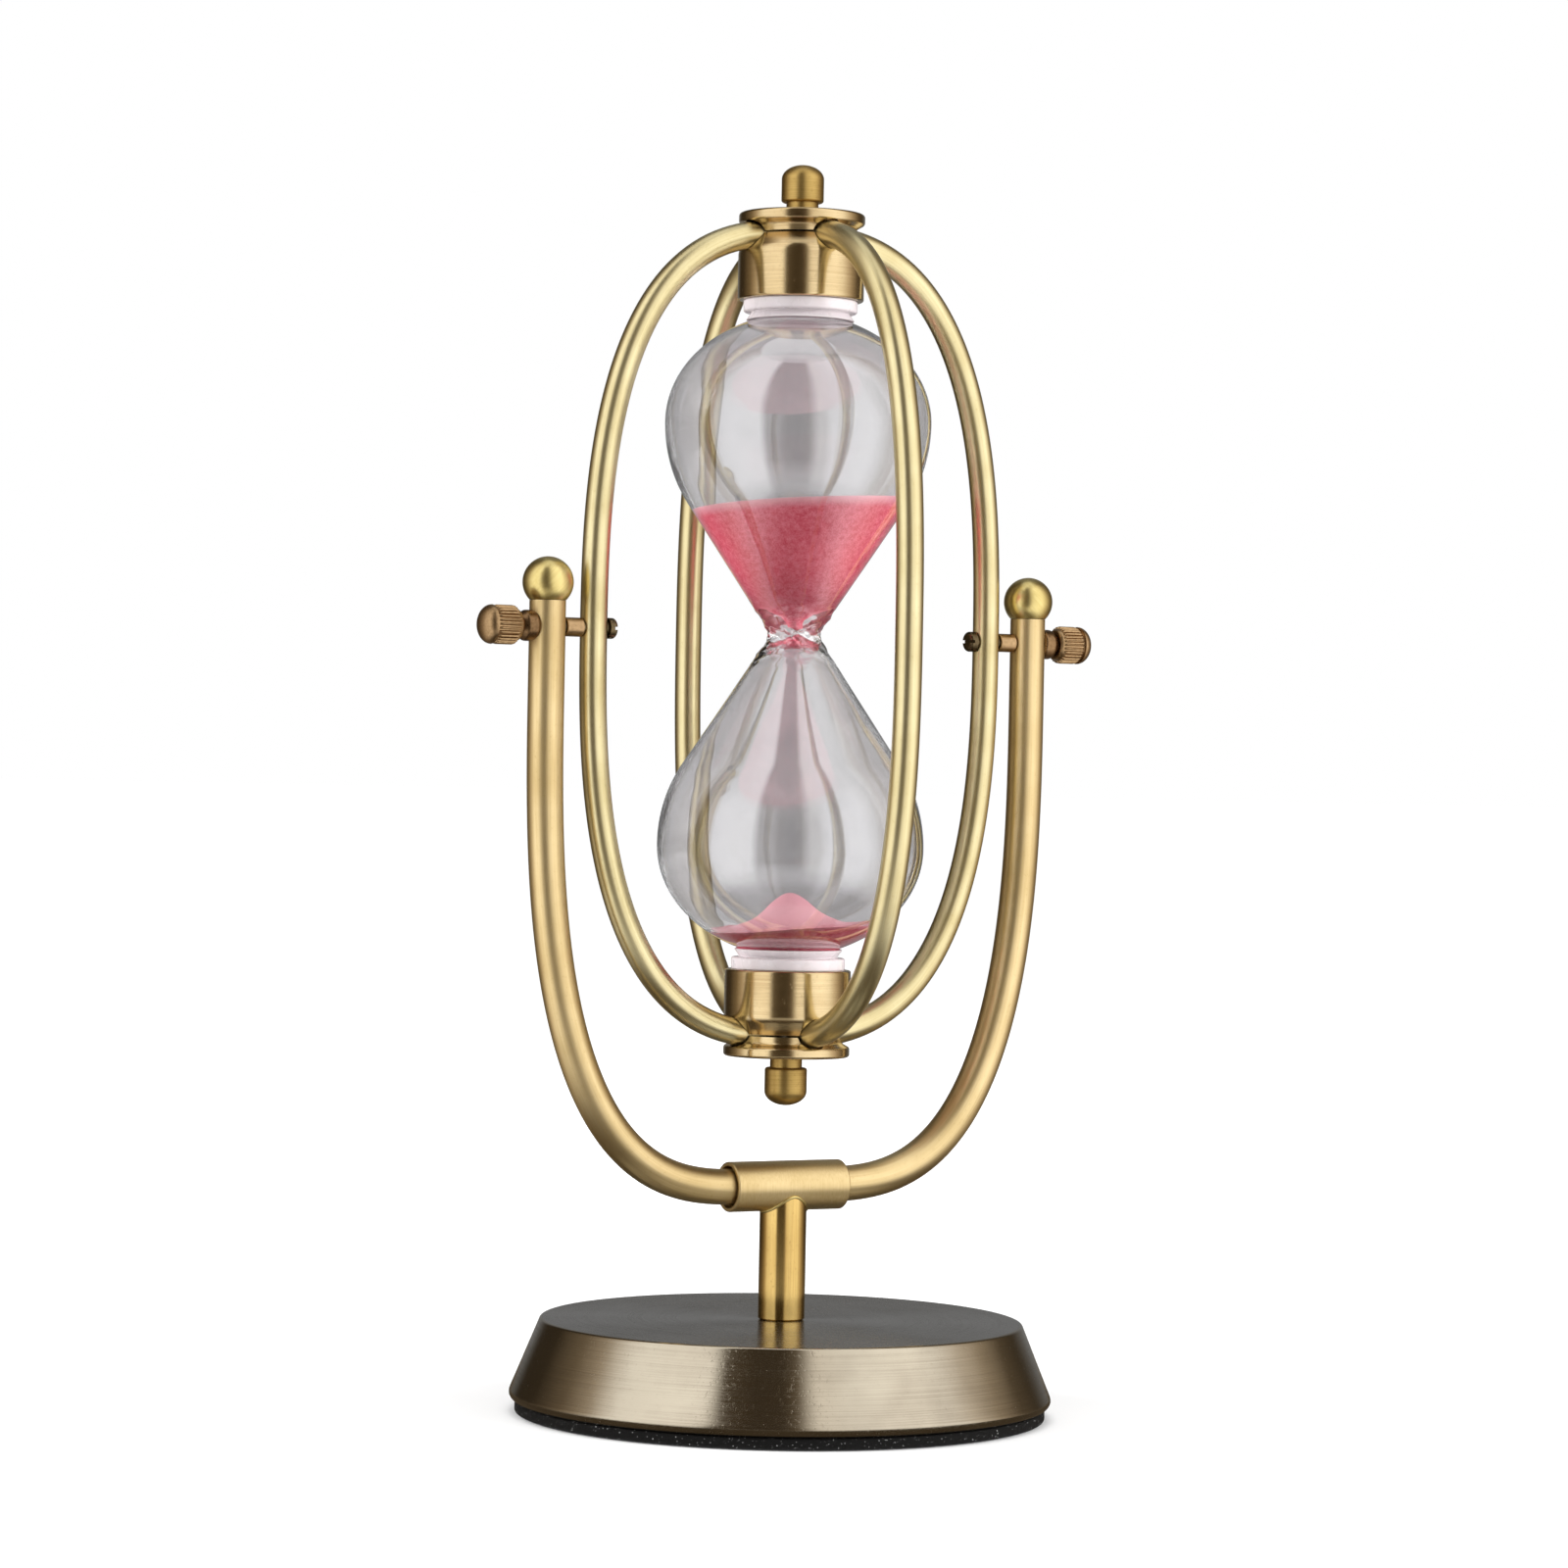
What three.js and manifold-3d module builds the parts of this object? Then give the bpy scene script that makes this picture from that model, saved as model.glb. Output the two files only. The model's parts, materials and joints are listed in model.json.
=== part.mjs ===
// A rotating hourglass: a glass double bulb in a cage of four bent rods, which turns end over end
// on two pivots in a U-shaped yoke. The yoke passes through a sleeve on a post on a weighted base.
// Millimetres, +Z up. The origin is the centre of the base pad's underside, and X is the pivot axis.
import * as THREE from "three";
import { mergeVertices } from "three/addons/utils/BufferGeometryUtils.js";
import Module from "manifold-3d";

const wasm = await Module();
wasm.setup();

// Clearances
const seatGap = 0.2; // between faces that rest on each other
const fitGap = 0.15; // around a plug, shank or ring in its hole
const runningGap = 0.1; // around the pivot shank in the rod that turns on it
const sandGap = 0.3; // between the sand and the glass

// Base
const padThickness = 2.5;
const padInset = 2.1;
const coverRadius = 61.45; // where the flank would meet the pad without the rounded lip
const coverTopRadius = 54;
const coverHeight = 18.3;
const coverWall = 1.2;
const coverEdgeRound = 1;
const coverLipRound = 1.6;
const boltRadius = 2.5;
const boltHeadRadius = 4.2;
const boltHeadHeight = 3.5;
const boltReach = 9; // length of the bolt inside the post
const washerRadius = 6.5;
const washerThickness = 1.2;

// Post and sleeve
const postRadius = 5.25;
const sleeveRise = 30; // cover top to sleeve axis
const sleeveLength = 28.5;
const sleeveWall = 1.4;
const sleeveMouthWall = 0.9; // wall left around the wider bore at each end
const sleeveMouthDepth = 4.5;
const teeStudRadius = 2;
const teeStudReach = 6; // length of the stud inside the post
const teeStudBite = 3.5; // length of the stud inside the yoke

// Yoke
const yokeRadius = 4;
const yokeSquareness = 2.8; // exponent of the superellipse that the bend follows
const bendDrop = 14; // pivot axis to the start of the bend
const yokeTopRise = 5.5; // pivot axis to the top of the uprights
const turnClearance = 12.4; // between the turning cage and the sleeve
const ballRadius = 5.6;
const tenonRadius = 2;
const tenonLength = 3;

// Glass, measured from its throat
const bulbRadius = 29.9;
const bulbCentre = 47.6; // throat to the widest place of a bulb
const flankRadius = 34; // arc between the straight cone and the widest place
const shoulderHeight = 23.3; // widest place to the foot of the mouth
const waistRadius = 5.9;
const waistRound = 3;
const throatRadius = 0.8;
const mouthRadius = 9;
const glassWall = 1.5;

// Sand
const upperSandLevel = 29.7; // above the throat
const lowerSandDepth = 8.8; // above the stopper
const heapRadius = 8.5;
const heapHeight = 6.5;
const sandLean = 4; // degrees
const sandLeanHeading = -29; // degrees from X, towards the high side

// Caps at both ends of the glass
const capRadius = 14.15;
const gasketShow = 3.8; // height of the gasket outside the cup
const gasketRound = 0.8;
const cupWall = 1.6;
const cupDepth = 9.4;
const cupEndWall = 4.9;
const cupFaceRadius = 11.8; // radius of the face that meets the flange
const cupShoulderDrop = 3.4;
const cupShoulderRound = 3;
const cupRimRound = 0.4;
const flangeHubHeight = 2.8;
const flangeRimHeight = 2.2;
const flangeRimOverhang = 1.7;
const flangeRimRise = 0.9; // slope of the rim's underside
const flangeRimRound = 0.7;
const flangeFlareRound = 1.5;
const capScrewRadius = 2;
const capScrewHeadRadius = 3.4;
const capScrewHeadHeight = 1.9;
const capScrewReach = 6.5; // length of the screw inside the finial
const stopperLength = 6.5;
const stopperHeadHeight = 1.5;
const finialNeckRadius = 3.6;
const finialNeckHeight = 2.3;
const finialRadius = 4.75;
const finialHeight = 8.5;
const finialFootChamfer = 0.6;
const finialRound = 2.6;

// Cage rods
const rodRadius = 3;
const hoopHalfWidth = 50.4; // pivot-height distance from the axis of the glass to the axis of a rod
const hoopSquareness = 2.67; // exponent of the superellipse that a rod follows
const rodEndRadius = 7; // distance from the axis of the glass to a rod's end face

// Pivots
const screwRadius = 1.5;
const screwHeadRadius = 2.3;
const screwHeadHeight = 1.9;
const screwHeadRound = 0.7;
const slotWidth = 0.7;
const slotDepth = 0.9;
const spacerLength = 3.9;
const spacerWall = 0.45;
const collarRadius = 3.6;
const collarLength = 2.8;
const collarRound = 0.9;
const nutRadius = 4.3;
const nutFaceRadius = 3.3;
const nutChamfer = 0.9;
const nutGripLength = 5.4;
const nutRidges = 24;
const nutRidgeDepth = 0.35;
const nutGrooveWidth = 0.4;
const nutGrooveDepth = 0.45;
const nutDomeHeight = 2.5;
const threadDepth = 5.5; // length of the pivot screw inside the nut

// Facets
const largeSides = 40;
const turnedSides = 20;
const knobSides = 16;
const smallSides = 12;
const rodSides = 10;
const rodSteps = 18;
const yokeSides = 10;
const yokeSteps = 40;
const roundSteps = 1;
const bulbSteps = 4;

// Heights above the table, worked out along the stand
const coverBottom = padThickness + seatGap;
const coverTop = coverBottom + coverHeight;
const sleeveAxis = coverTop + sleeveRise;
const sleeveBore = yokeRadius + seatGap;
const sleeveRadius = sleeveBore + sleeveWall;

// Heights above the pivot axis, worked out along the cage
const gasketBottom = bulbCentre + shoulderHeight + seatGap;
const cupRim = gasketBottom + gasketShow;
const cupCeiling = cupRim + cupDepth;
const capFace = cupCeiling + cupEndWall; // plane where cup and flange meet
const screwHeadTop = cupCeiling - seatGap;
const screwHeadBottom = screwHeadTop - capScrewHeadHeight;
const stopperTop = screwHeadBottom - seatGap;
const stopperShoulder = stopperTop - stopperHeadHeight;
const mouthTop = stopperShoulder - seatGap;
const stopperBottom = stopperShoulder - stopperLength;
const flangeBottom = capFace + seatGap;
const flangeRimBottom = flangeBottom + flangeHubHeight;
const flangeTop = flangeRimBottom + flangeRimHeight;
const finialBottom = flangeTop + seatGap;
const finialFoot = finialBottom + finialNeckHeight;
const finialTip = finialFoot + finialHeight;
const capScrewTop = finialBottom + capScrewReach;

// Rods lie halfway in the flange and halfway in the cup at the middle of their seats
const rodSeat = (rodEndRadius + capRadius) / 2;
const hoopHalfHeight = capFace / (1 - (rodSeat / hoopHalfWidth) ** hoopSquareness) ** (1 / hoopSquareness);

// Pivot height, and the distances along the pivot axis
const pivotHeight = sleeveAxis + sleeveRadius + turnClearance + finialTip;
const screwHeadInner = hoopHalfWidth - rodRadius - seatGap - screwHeadHeight;
const spacerStart = hoopHalfWidth + rodRadius + seatGap;
const yokeHalfWidth = spacerStart + spacerLength + seatGap + yokeRadius;
const collarEnd = yokeHalfWidth + yokeRadius + seatGap + collarLength;
const nutStart = collarEnd + seatGap;
const screwEnd = nutStart + threadDepth;

// Points on an arc, from one angle to another
function arc(centreX, centreY, radiusX, radiusY, from, to, steps) {
  return Array.from({ length: steps + 1 }, (_, i) => {
    const angle = from + ((to - from) * i) / steps;
    return new THREE.Vector2(centreX + radiusX * Math.cos(angle), centreY + radiusY * Math.sin(angle));
  });
}

// One corner of an outline, rounded where it carries a radius
function roundedCorner(before, corner, after) {
  const [x, y, radius] = corner;
  const point = new THREE.Vector2(x, y);
  if (!radius) return [point];
  const toBefore = new THREE.Vector2(...before.slice(0, 2)).sub(point).normalize();
  const toAfter = new THREE.Vector2(...after.slice(0, 2)).sub(point).normalize();
  const half = Math.acos(toBefore.dot(toAfter)) / 2;
  const reach = radius / Math.tan(half);
  const inward = toBefore.clone().add(toAfter).normalize();
  const centre = inward.multiplyScalar(radius / Math.sin(half)).add(point);
  const start = toBefore.multiplyScalar(reach).add(point).sub(centre);
  const end = toAfter.multiplyScalar(reach).add(point).sub(centre);
  const turn = Math.atan2(start.cross(end), start.dot(end));
  return arc(centre.x, centre.y, radius, radius, start.angle(), start.angle() + turn, 2 * roundSteps);
}

// An outline through [radius, height, rounding] corners
function outline(corners) {
  const count = corners.length;
  return corners.flatMap((corner, i) =>
    roundedCorner(corners[(i + count - 1) % count], corner, corners[(i + 1) % count]),
  );
}

// A body turned about Z from points that run up its outside, on or off the axis
function turned(points, sides) {
  const closed = points[0].x > 0 ? [...points, points[0]] : points;
  return new THREE.LatheGeometry(closed, sides).rotateX(Math.PI / 2);
}

function cylinder(radius, from, to, sides) {
  const length = to - from;
  return new THREE.CylinderGeometry(radius, radius, length, sides)
    .rotateX(Math.PI / 2)
    .translate(0, 0, from + length / 2);
}

const alongX = (geometry) => geometry.rotateY(Math.PI / 2);

// A solid that can be cut and joined
function solid(geometry) {
  const bare = geometry.clone().deleteAttribute("normal").deleteAttribute("uv");
  const merged = mergeVertices(bare);
  const corners = merged.index.array;
  const triangles = [];
  for (let i = 0; i < corners.length; i += 3) {
    const [a, b, c] = corners.subarray(i, i + 3);
    if (a !== b && b !== c && c !== a) triangles.push(a, b, c);
  }
  const vertProperties = merged.getAttribute("position").array;
  const triVerts = new Uint32Array(triangles);
  return new wasm.Manifold(new wasm.Mesh({ numProp: 3, vertProperties, triVerts }));
}

function geometryOf(body) {
  const { vertProperties, triVerts } = body.getMesh();
  const geometry = new THREE.BufferGeometry();
  geometry.setAttribute("position", new THREE.BufferAttribute(vertProperties, 3));
  geometry.setIndex(new THREE.BufferAttribute(triVerts, 1));
  geometry.computeVertexNormals();
  return geometry;
}

const cut = (geometry, ...tools) =>
  geometryOf(tools.reduce((body, tool) => body.subtract(solid(tool)), solid(geometry)));
const join = (geometry, ...others) =>
  geometryOf(others.reduce((body, other) => body.add(solid(other)), solid(geometry)));
const common = (geometry, other) => geometryOf(solid(geometry).intersect(solid(other)));

// Distance from the centre of a superellipse to its edge, in the direction of an angle
function superRadius(angle, halfWidth, halfHeight, squareness) {
  const across = Math.abs(Math.cos(angle) / halfWidth) ** squareness;
  const up = Math.abs(Math.sin(angle) / halfHeight) ** squareness;
  return (across + up) ** (-1 / squareness);
}

// The axis of one cage rod, from the bottom cap to the top cap, bowed towards +X
class RodPath extends THREE.Curve {
  constructor(endRadius) {
    super();
    const rise = (1 - (endRadius / hoopHalfWidth) ** hoopSquareness) ** (1 / hoopSquareness);
    this.endAngle = Math.atan2(hoopHalfHeight * rise, endRadius);
  }
  getPoint(t, target = new THREE.Vector3()) {
    const angle = (2 * t - 1) * this.endAngle;
    const reach = superRadius(angle, hoopHalfWidth, hoopHalfHeight, hoopSquareness);
    return target.set(reach * Math.cos(angle), 0, reach * Math.sin(angle));
  }
}

// The axis of the yoke: straight through the sleeve, bent up on both sides, then straight to the tops
class YokePath extends THREE.Curve {
  getPoint(t, target = new THREE.Vector3()) {
    const flat = sleeveLength / 2 - sleeveMouthDepth;
    const bendStart = pivotHeight - bendDrop;
    const width = yokeHalfWidth - flat;
    const depth = bendStart - sleeveAxis;
    const top = bendDrop + yokeTopRise;
    const flatShare = 0.05;
    const side = Math.sign(t - 0.5);
    const share = Math.abs(2 * t - 1);
    if (share < flatShare) return target.set((side * flat * share) / flatShare, 0, sleeveAxis);
    const endAngle = Math.atan2(top, width);
    const angle = -Math.PI / 2 + ((share - flatShare) / (1 - flatShare)) * (Math.PI / 2 + endAngle);
    const straight = width / Math.cos(angle);
    const reach = angle > 0 ? straight : superRadius(angle, width, depth, yokeSquareness);
    return target.set(side * (flat + reach * Math.cos(angle)), 0, bendStart + reach * Math.sin(angle));
  }
}

function roundBar(path, radius, sides, steps) {
  const section = new THREE.Shape(arc(0, 0, radius, radius, 0, 2 * Math.PI, sides).slice(0, -1));
  path.arcLengthDivisions = 16 * steps;
  return new THREE.ExtrudeGeometry(section, { steps, extrudePath: path, bevelEnabled: false });
}

// Base: cover, weight, pad, bolt and washer
function baseCover() {
  const hole = boltRadius + fitGap;
  return turned(
    outline([
      [hole, coverTop - coverWall],
      [coverTopRadius - coverWall, coverTop - coverWall],
      [coverRadius - coverWall, coverBottom + coverWall],
      [coverRadius - coverWall - coverLipRound, coverBottom],
      [coverRadius, coverBottom, coverLipRound],
      [coverTopRadius, coverTop, coverEdgeRound],
      [hole, coverTop],
    ]),
    largeSides,
  );
}

const weightBottom = padThickness + seatGap;
const boltRecess = boltHeadHeight + washerThickness + 3 * seatGap;

function baseWeight() {
  const hole = boltRadius + fitGap;
  const recess = washerRadius + fitGap;
  const inset = coverWall + 2 * fitGap;
  return turned(
    outline([
      [hole, weightBottom + boltRecess],
      [recess, weightBottom + boltRecess],
      [recess, weightBottom],
      [coverRadius - inset - coverLipRound, weightBottom],
      [coverRadius - inset, weightBottom + inset],
      [coverTopRadius - inset, coverTop - coverWall - seatGap],
      [hole, coverTop - coverWall - seatGap],
    ]),
    largeSides,
  );
}

const basePad = () => cylinder(coverRadius - padInset, 0, padThickness, largeSides);

function baseBolt() {
  const headBottom = weightBottom + seatGap;
  const headTop = headBottom + boltHeadHeight;
  const shank = cylinder(boltRadius, headBottom + boltHeadHeight / 2, coverTop + boltReach, smallSides);
  return join(cylinder(boltHeadRadius, headBottom, headTop, 6), shank);
}

function baseWasher() {
  const bottom = weightBottom + boltHeadHeight + 2 * seatGap;
  const hole = boltRadius + fitGap;
  return turned(
    outline([
      [hole, bottom],
      [washerRadius, bottom],
      [washerRadius, bottom + washerThickness],
      [hole, bottom + washerThickness],
    ]),
    smallSides,
  );
}

// Post, coped to the sleeve, with a blind hole at each end
const sleeveBottom = sleeveAxis - sleeveRadius;

function post() {
  const bottom = coverTop + seatGap;
  const saddle = alongX(cylinder(sleeveRadius + seatGap, -sleeveLength, sleeveLength, turnedSides));
  const boltHole = cylinder(boltRadius + fitGap, coverTop, coverTop + boltReach + seatGap, smallSides);
  const studBottom = sleeveBottom - teeStudReach - seatGap;
  return cut(
    cylinder(postRadius, bottom, sleeveAxis, turnedSides),
    saddle.translate(0, 0, sleeveAxis),
    boltHole,
    cylinder(teeStudRadius + fitGap, studBottom, sleeveAxis, smallSides),
  );
}

function teeSleeve() {
  const half = sleeveLength / 2;
  const mouth = sleeveRadius - sleeveMouthWall;
  const step = half - sleeveMouthDepth;
  const tube = turned(
    outline([
      [sleeveBore, -step],
      [mouth, -step],
      [mouth, -half],
      [sleeveRadius, -half],
      [sleeveRadius, half],
      [mouth, half],
      [mouth, step],
      [sleeveBore, step],
    ]),
    turnedSides,
  );
  const studHole = cylinder(teeStudRadius + fitGap, -sleeveRadius - seatGap, 0, smallSides);
  return cut(alongX(tube), studHole).translate(0, 0, sleeveAxis);
}

function teeStud() {
  const top = sleeveAxis - yokeRadius + teeStudBite;
  return cylinder(teeStudRadius, sleeveBottom - teeStudReach, top, smallSides);
}

// Yoke, drilled for the stud and the pivots, with a tenon for each ball
const yokeTop = pivotHeight + yokeTopRise;

function yoke() {
  const bar = roundBar(new YokePath(), yokeRadius, yokeSides, yokeSteps);
  const tenons = [-1, 1].map((side) =>
    cylinder(tenonRadius, yokeTop - tenonRadius / 2, yokeTop + tenonLength, smallSides).translate(
      side * yokeHalfWidth,
      0,
      0,
    ),
  );
  const reach = 2 * yokeHalfWidth;
  const pivotHole = alongX(cylinder(screwRadius + fitGap, -reach, reach, smallSides));
  const studHoleTop = teeStudBite - yokeRadius + seatGap;
  const studHole = cylinder(teeStudRadius + fitGap, -2 * yokeRadius, studHoleTop, smallSides);
  return cut(
    join(bar, ...tenons),
    pivotHole.translate(0, 0, pivotHeight),
    studHole.translate(0, 0, sleeveAxis),
  );
}

// Ball with a flat and a blind hole that seat on an upright and its tenon
function ball() {
  const flat = -Math.sqrt(ballRadius ** 2 - yokeRadius ** 2);
  const start = Math.asin(flat / ballRadius);
  const hole = tenonRadius + fitGap;
  const holeTop = flat + tenonLength + seatGap;
  return turned(
    [
      new THREE.Vector2(0, holeTop),
      new THREE.Vector2(hole, holeTop),
      new THREE.Vector2(hole, flat),
      ...arc(0, 0, ballRadius, ballRadius, start, Math.PI / 2, 2 * bulbSteps).slice(0, -1),
      new THREE.Vector2(0, ballRadius),
    ],
    knobSides,
  ).translate(0, 0, yokeTop + seatGap - flat);
}

// Half of a glass outline, from the neck up to the mouth, at some depth inside the outer surface
function bulbOutline(depth, neckRadius, neckRound, mouth, top) {
  const flank = flankRadius - depth;
  const flankCentre = bulbRadius - flankRadius;
  const neckCentre = neckRadius + neckRound;
  const inward = flankCentre - neckCentre;
  const spread = Math.hypot(inward, bulbCentre);
  const slope = Math.atan2(inward, bulbCentre) + Math.asin((flank + neckRound) / spread);
  const neck = neckRound
    ? arc(neckCentre, 0, neckRound, neckRound, Math.PI, Math.PI - slope, roundSteps)
    : [new THREE.Vector2(neckRadius, 0)];
  const shoulderWidth = bulbRadius - depth - mouth;
  const shoulderRise = shoulderHeight - depth;
  return [
    ...neck,
    ...arc(flankCentre, bulbCentre, flank, flank, -slope, 0, bulbSteps),
    ...arc(mouth, bulbCentre, shoulderWidth, shoulderRise, 0, Math.PI / 2, bulbSteps).slice(1),
    new THREE.Vector2(mouth, top),
  ];
}

const flipped = (points) => points.map((point) => new THREE.Vector2(point.x, -point.y)).reverse();
const mouthBore = mouthRadius - glassWall;

function glass() {
  const outer = bulbOutline(0, waistRadius, waistRound, mouthRadius, mouthTop);
  const inner = bulbOutline(glassWall, throatRadius, 0, mouthBore, mouthTop);
  const outside = [...flipped(outer.slice(1)), ...outer];
  const inside = [...flipped(inner.slice(1)), ...inner];
  return turned([...outside, ...inside.reverse()], turnedSides);
}

// The space that sand can fill in the upper bulb
function cavity() {
  const wall = bulbOutline(
    glassWall + sandGap,
    throatRadius - sandGap,
    0,
    mouthBore - sandGap,
    stopperBottom - seatGap,
  );
  const top = wall[wall.length - 1].y;
  return turned([new THREE.Vector2(0, 0), ...wall, new THREE.Vector2(0, top)], turnedSides);
}

// Leans a level surface towards the side where the sand has settled higher
function settled(geometry, height) {
  const heading = THREE.MathUtils.degToRad(sandLeanHeading);
  const lean = THREE.MathUtils.degToRad(sandLean);
  const hinge = new THREE.Vector3(Math.sin(heading), -Math.cos(heading), 0);
  return geometry
    .applyMatrix4(new THREE.Matrix4().makeRotationAxis(hinge, lean))
    .translate(0, 0, height);
}

function upperSand() {
  const below = cylinder(2 * bulbRadius, -2 * bulbCentre, 0, turnedSides);
  return common(cavity(), settled(below, upperSandLevel));
}

function lowerSand() {
  const heap = turned(
    outline([
      [0, -2 * bulbCentre],
      [2 * bulbRadius, -2 * bulbCentre],
      [2 * bulbRadius, 0],
      [heapRadius, 0],
      [0, heapHeight],
    ]),
    turnedSides,
  );
  return common(cavity().rotateX(Math.PI), settled(heap, lowerSandDepth - stopperBottom));
}

// Cage rods, and the channels that they leave in the caps
const rodNames = ["right", "back", "left", "front"];
const rod = () => roundBar(new RodPath(rodEndRadius), rodRadius, rodSides, rodSteps);

function pivotRod() {
  const pivotHole = cylinder(screwRadius + runningGap, 0, 2 * hoopHalfWidth, smallSides);
  return cut(rod(), alongX(pivotHole));
}

const rodChannels = rodNames.map((_, i) => {
  const path = new RodPath(rodEndRadius - seatGap);
  return roundBar(path, rodRadius + seatGap, rodSides, rodSteps).rotateZ((i * Math.PI) / 2);
});

// Cap pieces at the top of the cage
const capHole = capScrewRadius + fitGap;
const cupBore = capRadius - cupWall;

function cup() {
  const blank = turned(
    outline([
      [capHole, cupCeiling],
      [cupBore, cupCeiling],
      [cupBore, cupRim],
      [capRadius, cupRim, cupRimRound],
      [capRadius, capFace - cupShoulderDrop, cupShoulderRound],
      [cupFaceRadius, capFace],
      [capHole, capFace],
    ]),
    turnedSides,
  );
  return cut(blank, ...rodChannels);
}

function flange() {
  const blank = turned(
    outline([
      [capHole, flangeBottom],
      [cupFaceRadius, flangeBottom],
      [capRadius - flangeRimOverhang, flangeRimBottom - flangeRimRise, flangeFlareRound],
      [capRadius, flangeRimBottom, flangeRimRound],
      [capRadius, flangeTop, flangeRimRound],
      [capHole, flangeTop],
    ]),
    turnedSides,
  );
  return cut(blank, ...rodChannels);
}

function gasket() {
  const hole = mouthRadius + fitGap;
  const outside = cupBore - fitGap;
  return turned(
    outline([
      [hole, gasketBottom],
      [outside, gasketBottom, gasketRound],
      [outside, mouthTop],
      [hole, mouthTop],
    ]),
    turnedSides,
  );
}

function stopper() {
  const plug = mouthBore - fitGap;
  return turned(
    outline([
      [0, stopperBottom],
      [plug, stopperBottom],
      [plug, stopperShoulder],
      [mouthRadius, stopperShoulder],
      [mouthRadius, stopperTop],
      [0, stopperTop],
    ]),
    knobSides,
  );
}

function capScrew() {
  return turned(
    outline([
      [0, screwHeadBottom],
      [capScrewHeadRadius, screwHeadBottom],
      [capScrewHeadRadius, screwHeadTop],
      [capScrewRadius, screwHeadTop],
      [capScrewRadius, capScrewTop],
      [0, capScrewTop],
    ]),
    smallSides,
  );
}

function finial() {
  const holeTop = capScrewTop + seatGap;
  return turned(
    outline([
      [0, holeTop],
      [capHole, holeTop],
      [capHole, finialBottom],
      [finialNeckRadius, finialBottom],
      [finialNeckRadius, finialFoot],
      [finialRadius - finialFootChamfer, finialFoot],
      [finialRadius, finialFoot + finialFootChamfer],
      [finialRadius, finialTip, finialRound],
      [0, finialTip],
    ]),
    knobSides,
  );
}

// Pivot pieces on the +X side
function pivotScrew() {
  const headEnd = screwHeadInner + screwHeadHeight;
  const blank = turned(
    outline([
      [0, screwHeadInner],
      [screwHeadRadius, screwHeadInner, screwHeadRound],
      [screwHeadRadius, headEnd],
      [screwRadius, headEnd],
      [screwRadius, screwEnd],
      [0, screwEnd],
    ]),
    smallSides,
  );
  const slot = new THREE.BoxGeometry(4 * screwHeadRadius, slotWidth, 2 * slotDepth);
  return alongX(cut(blank, slot.translate(0, 0, screwHeadInner)));
}

function spacer() {
  const bore = screwRadius + fitGap;
  const end = spacerStart + spacerLength;
  return alongX(
    turned(
      outline([
        [bore, spacerStart],
        [bore + spacerWall, spacerStart],
        [bore + spacerWall, end],
        [bore, end],
      ]),
      smallSides,
    ),
  );
}

// Collar, coped to the outside of the upright
function collar() {
  const bore = screwRadius + fitGap;
  const blank = turned(
    outline([
      [bore, yokeHalfWidth],
      [collarRadius, yokeHalfWidth],
      [collarRadius, collarEnd, collarRound],
      [bore, collarEnd],
    ]),
    knobSides,
  );
  const upright = cylinder(yokeRadius + seatGap, -2 * collarRadius, 2 * collarRadius, knobSides);
  return cut(alongX(blank), upright.translate(yokeHalfWidth, 0, 0));
}

// Blind nut with a ridged grip, a groove and a domed end
function thumbNut() {
  const root = nutRadius - nutRidgeDepth;
  const bore = screwRadius + fitGap;
  const boreEnd = screwEnd + seatGap;
  const gripStart = nutStart + nutChamfer;
  const gripEnd = gripStart + nutGripLength;
  const domeStart = gripEnd + nutGrooveWidth;
  const core = turned(
    [
      new THREE.Vector2(0, boreEnd),
      new THREE.Vector2(bore, boreEnd),
      new THREE.Vector2(bore, nutStart),
      new THREE.Vector2(nutFaceRadius, nutStart),
      new THREE.Vector2(root, gripStart),
      new THREE.Vector2(root, gripEnd),
      new THREE.Vector2(nutRadius - nutGrooveDepth, gripEnd),
      new THREE.Vector2(nutRadius - nutGrooveDepth, domeStart),
      ...arc(0, domeStart, nutRadius, nutDomeHeight, 0, Math.PI / 2, bulbSteps).slice(0, -1),
      new THREE.Vector2(0, domeStart + nutDomeHeight),
    ],
    knobSides,
  );
  const ridges = Array.from({ length: 2 * nutRidges }, (_, i) => {
    const angle = (i * Math.PI) / nutRidges;
    const radius = i % 2 ? nutRadius : root - fitGap;
    return new THREE.Vector2(radius * Math.cos(angle), radius * Math.sin(angle));
  });
  const inner = bore + fitGap;
  const hole = arc(0, 0, inner, inner, 0, -2 * Math.PI, smallSides).slice(0, -1);
  const section = new THREE.Shape(ridges);
  section.holes.push(new THREE.Path(hole));
  const grip = new THREE.ExtrudeGeometry(section, { depth: nutGripLength, bevelEnabled: false });
  return alongX(join(core, grip.translate(0, 0, gripStart)));
}

// Finishes
const satinBrass = { color: 0xd9bf86, roughness: 0.32, metalness: 1 };
const polishedBrass = { color: 0xb8924f, roughness: 0.2, metalness: 1 };
const bronze = { color: 0x8a6a45, roughness: 0.35, metalness: 1 };
const brushedBase = { color: 0x9a8f7e, roughness: 0.3, metalness: 1 };
const castIron = { color: 0x4a4a4a, roughness: 0.8, metalness: 1 };
const steel = { color: 0xa8a8a8, roughness: 0.35, metalness: 1 };
const blackFoam = { color: 0x141414, roughness: 0.9, metalness: 0 };
const clearGlass = { color: 0xf2f4f4, roughness: 0.03, metalness: 0, transparent: true, opacity: 0.3 };
const pinkSand = { color: 0xdc7088, roughness: 0.95, metalness: 0 };
const paleSilicone = { color: 0xf3e6e6, roughness: 0.4, metalness: 0 };
const cork = { color: 0xc8a878, roughness: 0.9, metalness: 0 };

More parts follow.
